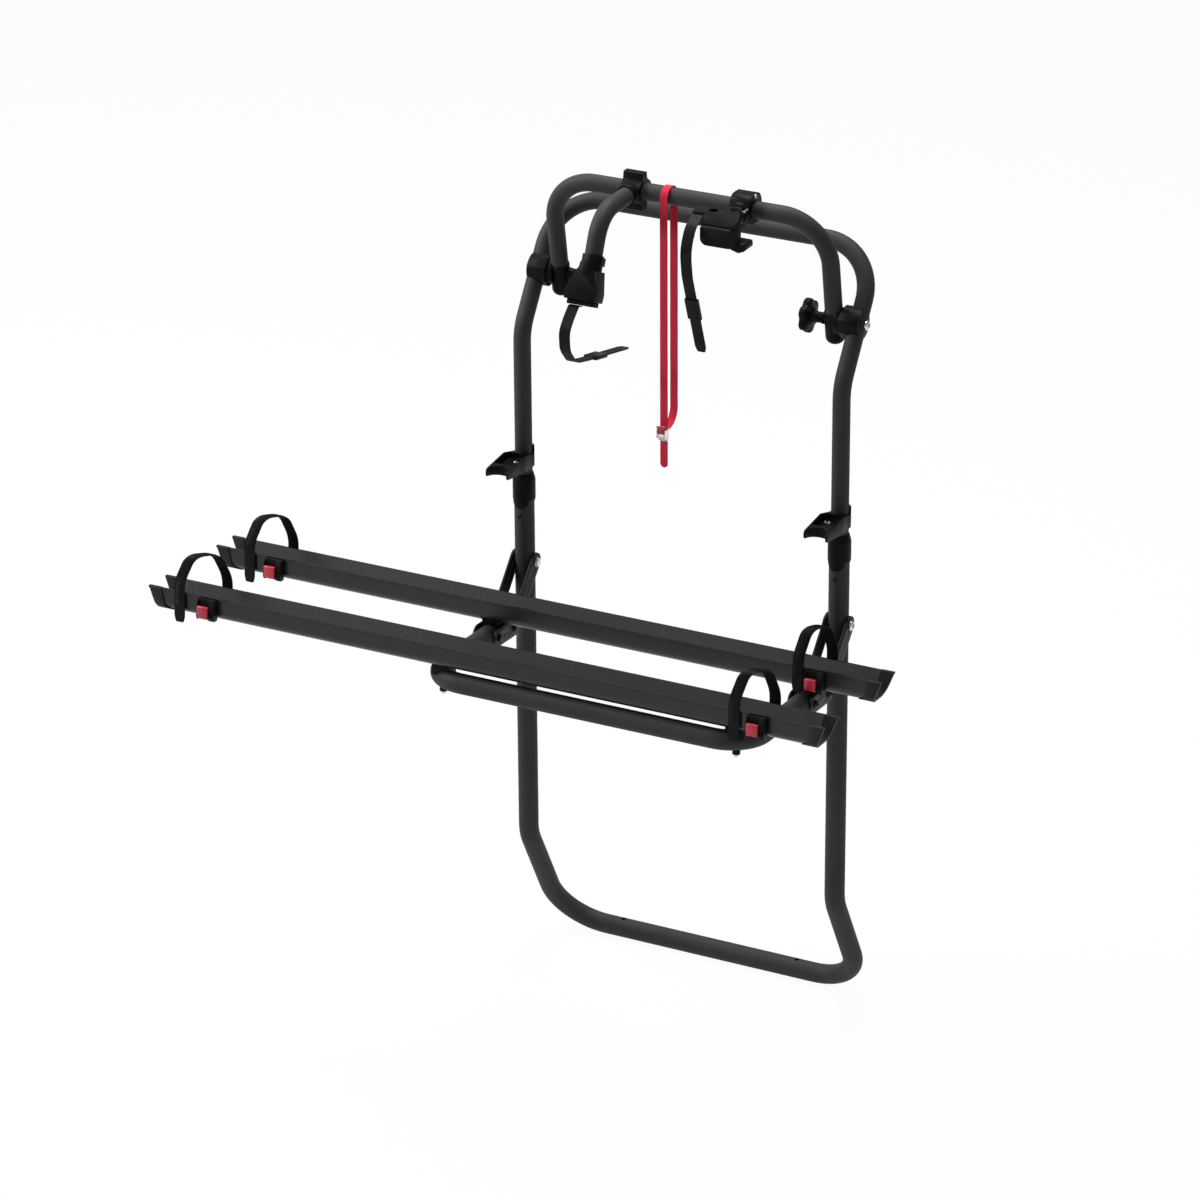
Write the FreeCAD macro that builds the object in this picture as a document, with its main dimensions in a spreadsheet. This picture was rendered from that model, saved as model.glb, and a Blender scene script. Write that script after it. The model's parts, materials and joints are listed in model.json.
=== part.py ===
"""Rear-wall bike rack of a motorhome: a telescoping tube frame, a fold-up platform with two wheel rails,
and a tilting hoop that carries two bike blocks and a webbing strap.

Millimetres. +Z is up, +Y points to the vehicle's wall, +X is to the right of someone who faces the wall.
The origin is the middle of the bottom bar, halfway between its two fixing holes.
"""
import FreeCAD
import Part
import Sketcher
import os
from math import atan2, cos, degrees, pi, radians, sin, sqrt, tan

V = FreeCAD.Vector
Placement = FreeCAD.Placement
Rotation = FreeCAD.Rotation
X_AXIS = V(1, 0, 0)
Y_AXIS = V(0, 1, 0)
Z_AXIS = V(0, 0, 1)
SIDES = {"left": -1, "right": 1}

doc = FreeCAD.newDocument("bike_rack")
sheet = doc.addObject("Spreadsheet::Sheet", "Sizes")
nodes = {}
aliases = []


def size(alias, value, note):
    """Writes one driving dimension into the sheet and hands it back."""
    row = len(aliases) + 1
    aliases.append(alias)
    sheet.set(f"A{row}", note)
    sheet.set(f"B{row}", str(value))
    sheet.setAlias(f"B{row}", alias)
    return value


# Lower frame
upright_spacing = size("upright_spacing", 593, "between the uprights' axes")
lower_tube = size("lower_tube", 35, "outside diameter of the lower frame's tube")
upper_tube = size("upper_tube", 30, "outside diameter of the upper frame's and the hoop's tube")
tube_wall = size("tube_wall", 2, "wall of every tube")
foot_offset = size("foot_offset", 121, "the uprights stand this far in front of the bottom bar")
foot_rise = size("foot_rise", 219.5, "lower knee above the bottom bar")
foot_corner = size("foot_corner", 92, "bend radius beside the bottom bar")
knee_bend = size("knee_bend", 75, "bend radius of the knees")
fixing_spacing = size("fixing_spacing", 342, "between the fixing holes in the bottom bar")
fixing_hole = size("fixing_hole", 8.5, "diameter of the fixing holes")
pivot_height = size("pivot_height", 745.5, "platform pivot above the bottom bar")

# Collars and telescope
collar_rise = size("collar_rise", 103, "collar's foot above the pivot")
collar_length = size("collar_length", 61.5, "length of a collar")
collar_dia = size("collar_dia", 39.5, "outside diameter of a collar")
collar_seat = size("collar_seat", 29.5, "depth of the lower tube in a collar")
collar_taper = size("collar_taper", 12, "length of a collar's tapered top")
collar_tongue = size("collar_tongue", 15, "height of the rounded tongues at a collar's foot")
collar_screw = size("collar_screw", 9, "head diameter of a collar's lock screw")
collar_screw_drop = size("collar_screw_drop", 15.5, "lock screw below a collar's foot")
slide_fit = size("slide_fit", 0.05, "radial clearance of sliding and turning fits")
telescope_depth = size("telescope_depth", 146, "length of the upper tube inside collar and lower tube")

# Upper frame
upper_knee = size("upper_knee", 426, "upper knee above the pivot")
head_offset = size("head_offset", 136, "top bar behind the uprights")
head_rise = size("head_rise", 199.9, "top bar above the upper knee")
head_corner = size("head_corner", 92, "bend radius beside the top bar")

# Clips
clip_rise = size("clip_rise", 178, "clip's foot above the pivot")
clip_height = size("clip_height", 35, "height of a clip at the tube")
clip_tip = size("clip_tip", 13, "height of a clip's prong at its tip")
clip_undercut = size("clip_undercut", 12, "prong's tip and ring's back above the clip's foot")
clip_wall = size("clip_wall", 3.5, "thickness of a clip's prongs and ring")
clip_overhang = size("clip_overhang", 3, "prongs reach this far past the folded arm's axis")
clip_gap = size("clip_gap", 0.4, "clearance of the folded arm in its clip")
clip_brow = size("clip_brow", 31, "height of a clip's brow over its prongs")
clip_brow_reach = size("clip_brow_reach", 32, "a clip's brow in front of the tube's axis")
clip_waist = size("clip_waist", 22, "height of a clip in front of the tube")
clip_rim = size("clip_rim", 2.5, "wall round a clip's hollow top")
clip_floor = size("clip_floor", 17, "height of the hollow's floor beside the tube")
clip_screw = size("clip_screw", 6, "head diameter of a clip's screws")
clip_screw_reach = size("clip_screw_reach", 36, "clip's screws in front of the tube's axis")
clip_screw_inset = size("clip_screw_inset", 6.5, "clip's pair of screws towards the middle of the rack")

# Hoop and its joints
hoop_spacing = size("hoop_spacing", 508, "between the axes of the hoop's legs")
joint_up = size("joint_up", 108.8, "joint above the upper knee, along the slanted leg")
hoop_lean = size("hoop_lean", 9.5, "lean of the hoop to the front, degrees")
hoop_height = size("hoop_height", 183.5, "hoop bar above the joint, along the hoop")
hoop_corner = size("hoop_corner", 82, "bend radius of the hoop")
joint_plane = size("joint_plane", 271, "parting plane of a joint, from the middle")
joint_radius = size("joint_radius", 23, "radius of the inner half's disc")
joint_disc = size("joint_disc", 10, "thickness of the inner half's disc")
cheek_radius = size("cheek_radius", 28, "radius of the outer half across its corners")
cheek_depth = size("cheek_depth", 35, "thickness of the outer half")
joint_gap = size("joint_gap", 0.5, "gap between the two halves of a joint")
joint_depth = size("joint_depth", 42, "inner half below the joint's axis")
joint_collar = size("joint_collar", 16, "inner half above the joint's axis")
joint_wall = size("joint_wall", 1.7, "wall of the inner half round the hoop's leg")
joint_bolt = size("joint_bolt", 10, "diameter of the joint's bolt")
knob_dia = size("knob_dia", 60, "diameter across a star knob's lobes")
knob_thickness = size("knob_thickness", 15, "thickness of a star knob")
knob_hub = size("knob_hub", 19, "diameter of a star knob's hub")
knob_stem = size("knob_stem", 22.5, "length of a star knob's hub")
knob_lobes = 6

# Bike blocks
long_place = size("long_place", -97, "middle of the long block's clamp along the hoop bar")
short_place = size("short_place", 105, "middle of the short block's clamp along the hoop bar")
clamp_length = size("clamp_length", 36, "length of a clamp along the bar")
clamp_wall = size("clamp_wall", 5.5, "wall of a clamp's ring")
liner_wall = size("liner_wall", 2.4, "wall of a clamp's rubber liner")
clamp_split = size("clamp_split", 1, "gap between a clamp's halves")
clamp_ear = size("clamp_ear", 10, "height of a clamp's ears")
short_ear = size("short_ear", 16, "length of the short clamp's ears along the bar")
crown_rise = size("crown_rise", 4, "rise of the short clamp's rounded crown over its ring")
ear_thickness = size("ear_thickness", 7, "thickness of an ear")
block_screw = size("block_screw", 5, "shank diameter of a clamp's screws")
block_screw_head = size("block_screw_head", 9, "head diameter of a clamp's screws")
block_screw_skin = size("block_screw_skin", 2.5, "clamp's front left whole before its screws")
arm_tube = size("arm_tube", 30, "outside diameter of a block's arm")
arm_wall = size("arm_wall", 3, "wall of a clamp's boss round its arm")
arm_reach = size("arm_reach", 125, "long arm's corner in front of the bar")
arm_drop_length = size("arm_drop_length", 95, "long arm's length below its corner")
arm_dip = size("arm_dip", 67, "slope of the long arm's end below level, degrees")
arm_bend = size("arm_bend", 62, "bend radius of the long arm")
stub_reach = size("stub_reach", 70, "short arm's end in front of the bar")
neck_length = size("neck_length", 26, "length of a head's neck")
neck_dia = size("neck_dia", 36, "outside diameter of a head's neck")
lug_length = size("lug_length", 14, "neck's screw lug along the neck")
lug_width = size("lug_width", 2, "neck's screw lug beside the neck")
head_pad = size("head_pad", 8, "thickness of a head's rubber pad")
long_head_width = size("long_head_width", 58, "width of the long block's jaw")
long_head_shift = size("long_head_shift", 5, "long block's jaw to the left of its arm")
long_head_height = size("long_head_height", 32, "height of the long block's jaw")
long_head_depth = size("long_head_depth", 51, "length of the long block's jaw")
short_head_width = size("short_head_width", 62, "width of the short block's jaw")
short_head_shift = size("short_head_shift", 0, "short block's jaw to the left of its arm")
short_head_height = size("short_head_height", 51, "height of the short block's jaw")
short_head_depth = size("short_head_depth", 34, "length of the short block's jaw")
short_head_drop = size("short_head_drop", 33, "short block's jaw below its arm's axis")
short_face_height = size("short_face_height", 36, "height of the short block's front face")
short_face_width = size("short_face_width", 58, "width of the short block's front face")
heel_drop = size("heel_drop", 43, "short jaw's heel below its arm's axis")
heel_reach = size("heel_reach", 43, "short jaw's heel to the right of its arm")
lever_shift = size("lever_shift", 4, "short block's lever to the left of its arm")
strap_width = size("strap_width", 20, "width of the ladder straps")
strap_thickness = size("strap_thickness", 2.6, "thickness of the ladder straps")
strap_seat = size("strap_seat", 0.25, "ladder strap's play on its seat")
strap_inset = size("strap_inset", 7.5, "long strap inside the edge of its jaw")
loop_length = size("loop_length", 42, "length of a strap's keeper")
long_loop_place = size("long_loop_place", 42, "middle of the long strap's keeper along its last stretch")
short_loop_place = size("short_loop_place", 68, "middle of the short strap's keeper along its last stretch")

# Security strap
webbing_place = size("webbing_place", -35, "security strap's middle along the hoop bar")
webbing_width = size("webbing_width", 14, "width of the security strap")
webbing_thickness = size("webbing_thickness", 1.8, "thickness of the security strap")
webbing_gap = size("webbing_gap", 0.4, "security strap over the hoop bar")
webbing_spread = size("webbing_spread", 19, "strands in front of and behind the bar's axis")
webbing_drop = size("webbing_drop", 418, "cam buckle below the hoop bar")
webbing_tail = size("webbing_tail", 62, "security strap's tail below the cam buckle's middle")

# Platform
platform_tilt = size("platform_tilt", 3.7, "rise of the platform to the front, degrees")
arm_drop = size("arm_drop", 95, "platform tube's axis below the pivot")
arm_start = size("arm_start", 57, "rear end of the platform's arms in front of the pivot")
front_reach = size("front_reach", 348.3, "front tube in front of the pivot")
platform_corner = size("platform_corner", 63, "bend radius of the platform tube")
plate_thickness = size("plate_thickness", 4, "thickness of a bracket plate")
plate_half = size("plate_half", 16, "half width of a bracket plate")
plate_gap = size("plate_gap", 0.5, "clearance of the plates beside the tubes")
plate_end = size("plate_end", 132, "last arm bolt in front of the pivot")
plate_bolt = size("plate_bolt", 75.5, "first arm bolt in front of the pivot")
pivot_bolt = size("pivot_bolt", 10, "diameter of the pivot bolts")
arm_bolt = size("arm_bolt", 8, "diameter of the arm bolts")
bolt_head = size("bolt_head", 5, "thickness of bolt heads and nuts")

# Rails
rail_length = size("rail_length", 1240, "length of a rail without its caps")
rail_centre = size("rail_centre", -196, "middle of the rails along X")
rail_width = size("rail_width", 57, "width of a rail at its lips")
rail_height = size("rail_height", 40, "height of a rail")
rail_wall = size("rail_wall", 2.2, "wall of a rail")
rail_corner = size("rail_corner", 16, "outside corner radius of a rail")
rail_lip = size("rail_lip", 1.5, "overhang of a rail's lips")
rail_lip_height = size("rail_lip_height", 3, "height of a rail's lips")
rear_reach = size("rear_reach", 112, "rear rail's middle in front of the pivot")
rail_spacing = size("rail_spacing", 223.5, "between the rails")
saddle_height = size("saddle_height", 7.5, "rails above the platform tube")
saddle_length = size("saddle_length", 30, "length of a saddle")
cap_over = size("cap_over", 15, "cap beyond the rail's end")
cap_wall = size("cap_wall", 2, "wall of an end cap")
cap_cover = size("cap_cover", 70, "cap's length under the rail")
cap_rim = size("cap_rim", 24, "cap's length at the lips and inside")
cap_rake = size("cap_rake", 16, "rake of a cap's end face")
rail_bolt = size("rail_bolt", 8, "diameter of a rail bolt")
rail_bolt_head = size("rail_bolt_head", 17, "head diameter of a rail bolt")
rail_slot_play = size("rail_slot_play", 0.35, "clearance beside a rail bolt in its slot")
rail_travel_left = size("rail_travel_left", 50, "travel of a rail to the left of its place")
rail_travel_right = size("rail_travel_right", 350, "travel of a rail to the right of its place")

# Wheel straps and their buckles
buckle_inset = size("buckle_inset", 103, "buckles inside the ends of a rail")
buckle_width = size("buckle_width", 34, "width of a buckle base")
buckle_depth = size("buckle_depth", 11.5, "depth of a buckle base")
buckle_wall = size("buckle_wall", 2, "wall of a buckle base beside its lever")
lever_pin = size("lever_pin", 4, "diameter of a lever's pin")
lever_pin_height = size("lever_pin_height", 8, "lever's pin above the rail's floor")
lever_height = size("lever_height", 18, "lever above its pin")
lever_thickness = size("lever_thickness", 7, "thickness of a lever")
lever_width = size("lever_width", 20.4, "width of a lever")
lever_gap = size("lever_gap", 0.4, "clearance beside a lever")
arch_height = size("arch_height", 64, "wheel strap above the lips")
arch_skew = {
    "rear_left": size("skew_rear_left", 52, "shift of the rear left strap's near leg along its rail"),
    "rear_right": size("skew_rear_right", 34, "shift of the rear right strap's near leg along its rail"),
    "front_left": size("skew_front_left", 58, "shift of the front left strap's near leg along its rail"),
    "front_right": size("skew_front_right", 44, "shift of the front right strap's near leg along its rail"),
}
strap_tail = size("strap_tail", 14, "wheel strap's end below the rail")
strap_gap = size("strap_gap", 0.4, "wheel strap outside the far lip")
anchor_place = size("anchor_place", 10, "far strap's anchor above the rail's foot")
anchor_height = size("anchor_height", 13, "height of the far strap's anchor")
anchor_wall = size("anchor_wall", 2, "wall of the far strap's anchor")
strap_clear = size("strap_clear", 2.5, "rear right wheel strap's end above the platform's arm")
doc.recompute()

half_spacing = upright_spacing / 2
pivot = V(0, -foot_offset, pivot_height)
tilt = radians(platform_tilt)
forward = V(0, -cos(tilt), sin(tilt))
upward = V(0, sin(tilt), cos(tilt))
platform_turn = Rotation(forward, upward, -X_AXIS, "XYZ")
knee_top = pivot_height + upper_knee
leg_direction = V(0, head_offset, head_rise).normalize()
joint_axis = V(0, -foot_offset, knee_top) + leg_direction * joint_up
lean = radians(hoop_lean)
hoop_direction = V(0, -sin(lean), cos(lean))
bar = joint_axis + hoop_direction * hoop_height
front_rail_reach = rear_reach + rail_spacing
rail_seat = -arm_drop + lower_tube / 2 + saddle_height
rail_reach = {"rear": rear_reach, "front": front_rail_reach}


def on_platform(reach, height, x=0):
    """Point at a reach and a height in the platform's tilted plane, from the pivot."""
    return pivot + forward * reach + upward * height + V(x, 0, 0)


def facing(direction, position):
    """Placement that turns +Z to a direction."""
    return Placement(position, Rotation(Z_AXIS, direction))


def node(name, thing):
    """Names a finished sub-part."""
    thing.Label = name
    nodes[name] = thing
    return thing


def cylinder(name, radius, length, place):
    """Part::Cylinder whose radius and height follow the sheet."""
    thing = doc.addObject("Part::Cylinder", name)
    thing.setExpression("Radius", radius)
    thing.setExpression("Height", length)
    thing.Placement = place
    return thing


def cone(name, radius_1, radius_2, length, place):
    """Part::Cone whose radii and height follow the sheet."""
    thing = doc.addObject("Part::Cone", name)
    thing.setExpression("Radius1", radius_1)
    thing.setExpression("Radius2", radius_2)
    thing.setExpression("Height", length)
    thing.Placement = place
    return thing


def box(name, length, width, height, place):
    """Part::Box whose sides follow the sheet."""
    thing = doc.addObject("Part::Box", name)
    thing.setExpression("Length", length)
    thing.setExpression("Width", width)
    thing.setExpression("Height", height)
    thing.Placement = place
    return thing


def fuse(name, parts):
    """Union of several objects."""
    thing = doc.addObject("Part::MultiFuse", name)
    thing.Shapes = parts
    thing.Refine = True
    return thing


def cut(name, base, tools):
    """An object less one or more tools."""
    tool = tools[0] if len(tools) == 1 else fuse(name + "_tools", tools)
    thing = doc.addObject("Part::Cut", name)
    thing.Base = base
    thing.Tool = tool
    return thing


def common(name, base, tool):
    """What two objects share."""
    thing = doc.addObject("Part::Common", name)
    thing.Base = base
    thing.Tool = tool
    return thing


def group(name, parts):
    """Separate solids kept together in one node."""
    thing = doc.addObject("Part::Compound", name)
    thing.Links = parts
    return thing


def feature(name, shape):
    """Part::Feature for a shape that no primitive or sketch makes."""
    thing = doc.addObject("Part::Feature", name)
    thing.Shape = shape
    return thing


def rounded_edges(corners, closed=True):
    """Lines and tangent arcs through corners given as (point, radius)."""
    count = len(corners)
    if closed:
        turns = [(corners[i - 1][0], corners[i][0], corners[(i + 1) % count][0],
                  corners[i][1]) for i in range(count)]
    else:
        turns = [(corners[i - 1][0], corners[i][0], corners[i + 1][0],
                  corners[i][1]) for i in range(1, count - 1)]
    pieces = []
    for before, corner, after, radius in turns:
        into = (corner - before).normalize()
        out = (after - corner).normalize()
        turn = into.getAngle(out)
        if radius <= 0 or turn < 1e-6:
            pieces.append((corner, None, corner))
            continue
        setback = radius * tan(turn / 2)
        inward = (out - into).normalize()
        centre = corner + inward * (radius / cos(turn / 2))
        pieces.append((corner - into * setback, centre - inward * radius, corner + out * setback))
    if not closed:
        first = corners[0][0]
        last = corners[-1][0]
        pieces = [(first, None, first)] + pieces + [(last, None, last)]
    geometry = []
    for index, (start, middle, end) in enumerate(pieces):
        if middle is not None:
            geometry.append(Part.Arc(start, middle, end))
        if closed or index + 1 < len(pieces):
            following = pieces[(index + 1) % len(pieces)][0]
            if end.distanceToPoint(following) > 1e-6:
                geometry.append(Part.LineSegment(end, following))
    return geometry


def swept(name, path, diameter):
    """Solid rod of a diameter along a path."""
    spine = path.Shape
    first = spine.OrderedEdges[0]
    section = doc.addObject("Part::Circle", name + "_section")
    section.setExpression("Radius", diameter)
    section.Placement = facing(first.tangentAt(first.FirstParameter), first.valueAt(first.FirstParameter))
    rod = doc.addObject("Part::Sweep", name)
    rod.Sections = [section]
    rod.Spine = (path, [f"Edge{i + 1}" for i in range(len(spine.Edges))])
    rod.Solid = True
    rod.Frenet = False
    return rod


def bent_tube(name, corners, diameter):
    """Round tube along straight runs and bends, with its outside rod for later cuts."""
    wire = Part.Wire([piece.toShape() for piece in rounded_edges(corners, closed=False)])
    path = feature(name + "_path", wire)
    doc.recompute()
    outside = swept(name + "_outside", path, f"Sizes.{diameter} / 2")
    bore = swept(name + "_bore", path, f"Sizes.{diameter} / 2 - Sizes.tube_wall")
    return outside, bore


def sketch_body(name, place):
    """Empty PartDesign body at a place."""
    body = doc.addObject("PartDesign::Body", name)
    body.Placement = place
    return body


def draw(body, name, outline, holes=(), role="XY_Plane"):
    """Sketch of one closed outline and round holes given as (x, y, rule)."""
    plane = next(item for item in body.Origin.OriginFeatures if item.Role == role)
    sketch = body.newObject("Sketcher::SketchObject", name)
    sketch.AttachmentSupport = [(plane, "")]
    sketch.MapMode = "FlatFace"
    for piece in rounded_edges([(V(x, y, 0), radius) for x, y, radius in outline]):
        sketch.addGeometry(piece, False)
    for x, y, rule in holes:
        circle = sketch.addGeometry(Part.Circle(V(x, y, 0), Z_AXIS, 1), False)
        constraint = sketch.addConstraint(Sketcher.Constraint("Radius", circle, 1))
        sketch.setExpression(f"Constraints[{constraint}]", rule)
    return sketch


def plate(name, outline, thickness, place, holes=()):
    """Body padded from an outline by a length that follows the sheet."""
    body = sketch_body(name, place)
    sketch = draw(body, name + "_sketch", outline, holes)
    pad = body.newObject("PartDesign::Pad", name + "_pad")
    pad.Profile = sketch
    pad.setExpression("Length", thickness)
    sketch.Visibility = False
    return body


def turned(name, outline, place):
    """Body turned about its local Z from an outline of (radius, height, corner)."""
    body = sketch_body(name, place)
    sketch = draw(body, name + "_sketch", outline, role="XZ_Plane")
    revolution = body.newObject("PartDesign::Revolution", name + "_turn")
    revolution.Profile = sketch
    revolution.ReferenceAxis = (sketch, ["V_Axis"])
    revolution.Angle = 360
    return body


def ribbon_outline(points, thickness, normal):
    """Outline of a band of one thickness that follows (point, corner radius) pairs in a plane."""
    left = []
    right = []
    last = len(points) - 1
    for index, (point, radius) in enumerate(points):
        into = (point - points[index - 1][0]).normalize() if index else None
        out = (points[index + 1][0] - point).normalize() if index < last else into
        into = into or out
        side_out = normal.cross(out)
        side = (normal.cross(into) + side_out).normalize()
        stretch = thickness / 2 / side.dot(side_out)
        turns_left = into.cross(out).dot(normal) > 0
        inner = max(radius - thickness / 2, 0)
        outer = radius + thickness / 2 if radius else 0
        left.append((point + side * stretch, inner if turns_left else outer))
        right.append((point - side * stretch, outer if turns_left else inner))
    return left + right[::-1]


def ribbon(name, points, thickness, width, normal, travel):
    """Flat strap: the band along points in a plane, carried a width along a direction."""
    edges = rounded_edges(ribbon_outline(points, thickness, normal))
    face = Part.Face(Part.Wire([edge.toShape() for edge in edges]))
    face.translate(travel * (-width / 2))
    return feature(name, face.extrude(travel * width))


def lower_frame():
    """Uprights, lower knees and bottom bar in one bent tube."""
    top = pivot_height + collar_rise + collar_seat
    corners = []
    for sign in (-1, 1):
        run = [(V(sign * half_spacing, -foot_offset, top), 0),
               (V(sign * half_spacing, -foot_offset, foot_rise), knee_bend),
               (V(sign * half_spacing, 0, 0), foot_corner)]
        corners += run if sign < 0 else run[::-1]
    outside, bore = bent_tube("lower_frame", corners, "lower_tube")
    holes = []
    for side, sign in SIDES.items():
        holes.append(cylinder(f"fixing_hole_{side}", "Sizes.fixing_hole / 2", "Sizes.lower_tube * 2",
                              Placement(V(sign * fixing_spacing / 2, 0, -lower_tube), Rotation())))
        holes.append(cylinder(f"pivot_hole_{side}", "Sizes.pivot_bolt / 2", "Sizes.lower_tube * 2",
                              facing(X_AXIS, pivot + V(sign * half_spacing - lower_tube, 0, 0))))
        holes.append(cylinder(f"screw_hole_{side}", "Sizes.collar_screw / 4", "Sizes.lower_tube / 2",
                              facing(-Y_AXIS, collar_screw_place(sign))))
    node("lower_frame", cut("lower_frame_tube", outside, [bore] + holes))


def collar_screw_place(sign):
    """Point on the upright's axis behind a collar's lock screw."""
    return pivot + V(sign * half_spacing, 0, collar_rise - collar_screw_drop)


def collars():
    """Sleeves with tapered tops and rounded tongues that guide the upper tube, and their lock screws."""
    outer = collar_dia / 2
    seat = lower_tube / 2
    guide = upper_tube / 2 + slide_fit
    rim = 1.5
    screws = []
    for side, sign in SIDES.items():
        foot = pivot + V(sign * half_spacing, 0, collar_rise)
        profile = [(seat, 0, 0), (seat + rim, 0, 0), (outer, collar_tongue, 30),
                   (outer, collar_length - collar_taper, 6), (guide + rim, collar_length, 0),
                   (guide, collar_length, 0), (guide, collar_seat, 0), (seat, collar_seat, 0)]
        sleeve = turned(f"collar_sleeve_{side}", profile, Placement(foot, Rotation()))
        wide = outer + 1
        tongue = [(-wide, collar_tongue, 0), (-seat * 0.9, collar_tongue, 2), (-seat * 0.72, 0, 12),
                  (seat * 0.72, 0, 12), (seat * 0.9, collar_tongue, 2), (wide, collar_tongue, 0),
                  (wide, collar_length + 1, 0), (-wide, collar_length + 1, 0)]
        mask = plate(f"collar_mask_{side}", tongue, "2 * Sizes.collar_dia",
                     Placement(foot + Y_AXIS * collar_dia, Rotation(X_AXIS, Z_AXIS, -Y_AXIS, "XYZ")))
        node(f"collar_{side}", common(f"collar_body_{side}", sleeve, mask))
        start = collar_screw_place(sign)
        screws.append(fuse(f"collar_screw_{side}", [
            cylinder(f"collar_screw_head_{side}", "Sizes.collar_screw / 2", "Sizes.tube_wall",
                     facing(-Y_AXIS, start - Y_AXIS * (lower_tube / 2))),
            cylinder(f"collar_screw_shank_{side}", "Sizes.collar_screw / 4", "Sizes.tube_wall",
                     facing(-Y_AXIS, start - Y_AXIS * (lower_tube / 2 - tube_wall)))]))
    node("collar_screws", group("collar_screw_pair", screws))


def upper_frame():
    """Upper tubes, knees and top bar in one bent tube that slides in the collars."""
    low = pivot_height + collar_rise + collar_length - telescope_depth
    corners = []
    for sign in (-1, 1):
        run = [(V(sign * half_spacing, -foot_offset, low), 0),
               (V(sign * half_spacing, -foot_offset, knee_top), knee_bend),
               (V(sign * half_spacing, head_offset - foot_offset, knee_top + head_rise), head_corner)]
        corners += run if sign < 0 else run[::-1]
    outside, bore = bent_tube("upper_frame", corners, "upper_tube")
    holes = []
    for side, sign in SIDES.items():
        across = V(sign * (half_spacing - upper_tube), 0, 0)
        holes.append(cylinder(f"joint_hole_{side}", "Sizes.joint_bolt / 2", "Sizes.upper_tube * 2",
                              facing(X_AXIS * sign, joint_axis + across)))
    node("upper_frame", cut("upper_frame_tube", outside, [bore] + holes))
    return outside


def clips():
    """Clips on the upper tubes whose prongs take the folded platform's arms."""
    screws = []
    half = lower_tube / 2 + clip_gap + clip_wall
    reach = arm_drop + clip_overhang
    ring = upper_tube / 2 + clip_wall
    for side, sign in SIDES.items():
        foot = pivot + V(sign * half_spacing, 0, clip_rise)
        profile = [(ring, clip_undercut, 2), (upper_tube / 4, 0, 8), (-upper_tube / 2, 0, 8),
                   (-reach, clip_undercut, 2), (-reach, clip_undercut + clip_tip, 6),
                   (-clip_brow_reach, clip_brow, 9), (upper_tube / 8, clip_waist, 3),
                   (upper_tube / 4, clip_height, 3), (ring, clip_height, 3)]
        along = Placement(foot - V(half, 0, 0), Rotation(Y_AXIS, Z_AXIS, X_AXIS, "XYZ"))
        fork = plate(f"clip_fork_{side}", profile,
                     "2 * (Sizes.lower_tube / 2 + Sizes.clip_gap + Sizes.clip_wall)",
                     along)
        seat = cylinder(f"clip_seat_{side}", "Sizes.lower_tube / 2 + Sizes.clip_gap", "Sizes.clip_height * 2",
                        Placement(foot + V(0, -arm_drop, -clip_height / 2), Rotation()))
        mouth = box(f"clip_mouth_{side}", "Sizes.lower_tube + 2 * Sizes.clip_gap", "Sizes.arm_drop",
                    "Sizes.clip_height * 2",
                    Placement(foot + V(-lower_tube / 2 - clip_gap, -2 * arm_drop, -clip_height / 2),
                              Rotation()))
        bore = cylinder(f"clip_bore_{side}", "Sizes.upper_tube / 2", "Sizes.clip_height * 2",
                        Placement(foot + V(0, 0, -clip_height / 2), Rotation()))
        front = -(arm_drop - lower_tube / 2 - clip_gap - 2 * clip_rim)
        behind = -(upper_tube / 2 + clip_rim)
        tray = [(behind, clip_floor, 2), (front, clip_floor, 2), (front, clip_height * 2, 0),
                (behind, clip_height * 2, 0)]
        hollow = plate(f"clip_hollow_{side}", tray, f"{2 * (half - clip_rim)}",
                       Placement(foot - V(half - clip_rim, 0, 0), along.Rotation))
        back = ring - 0.1
        plan = [(-half, -reach - 1, 0), (half, -reach - 1, 0), (half, -lower_tube, 12), (ring, -ring / 2, 8),
                (ring, ring, back), (-ring, ring, back), (-ring, -ring / 2, 8), (-half, -lower_tube, 12)]
        mask = plate(f"clip_plan_{side}", plan, "Sizes.clip_height * 2",
                     Placement(foot - Z_AXIS * 10, Rotation()))
        holes = []
        for x in (-1, 1):
            spot = foot + V(x * (clip_screw / 2 + 0.3) - sign * clip_screw_inset, -clip_screw_reach,
                            clip_floor)
            tag = f"{side}_{'right' if x > 0 else 'left'}"
            holes.append(cylinder(f"clip_hole_{tag}", "Sizes.clip_screw / 4", "Sizes.clip_screw * 2",
                                  facing(-Z_AXIS, spot)))
            shank = cylinder(f"clip_shank_{tag}", "Sizes.clip_screw / 4", "Sizes.clip_screw * 2",
                             facing(-Z_AXIS, spot))
            crown = cylinder(f"clip_head_{tag}", "Sizes.clip_screw / 2", "Sizes.clip_screw * 0.5",
                             facing(Z_AXIS, spot))
            screws.append(fuse(f"clip_screw_{tag}", [shank, crown]))
        rounded = common(f"clip_rounded_{side}", fork, mask)
        node(f"clip_{side}", cut(f"clip_body_{side}", rounded, [seat, mouth, bore, hollow] + holes))
    node("clip_screws", group("clip_screw_pair", screws))


def cheek_outline():
    """Eight-cornered outline of a joint's outer half."""
    corners = []
    for index in range(8):
        angle = pi / 8 + index * pi / 4
        corners.append((cheek_radius * cos(angle), cheek_radius * sin(angle), 2))
    return corners


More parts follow.
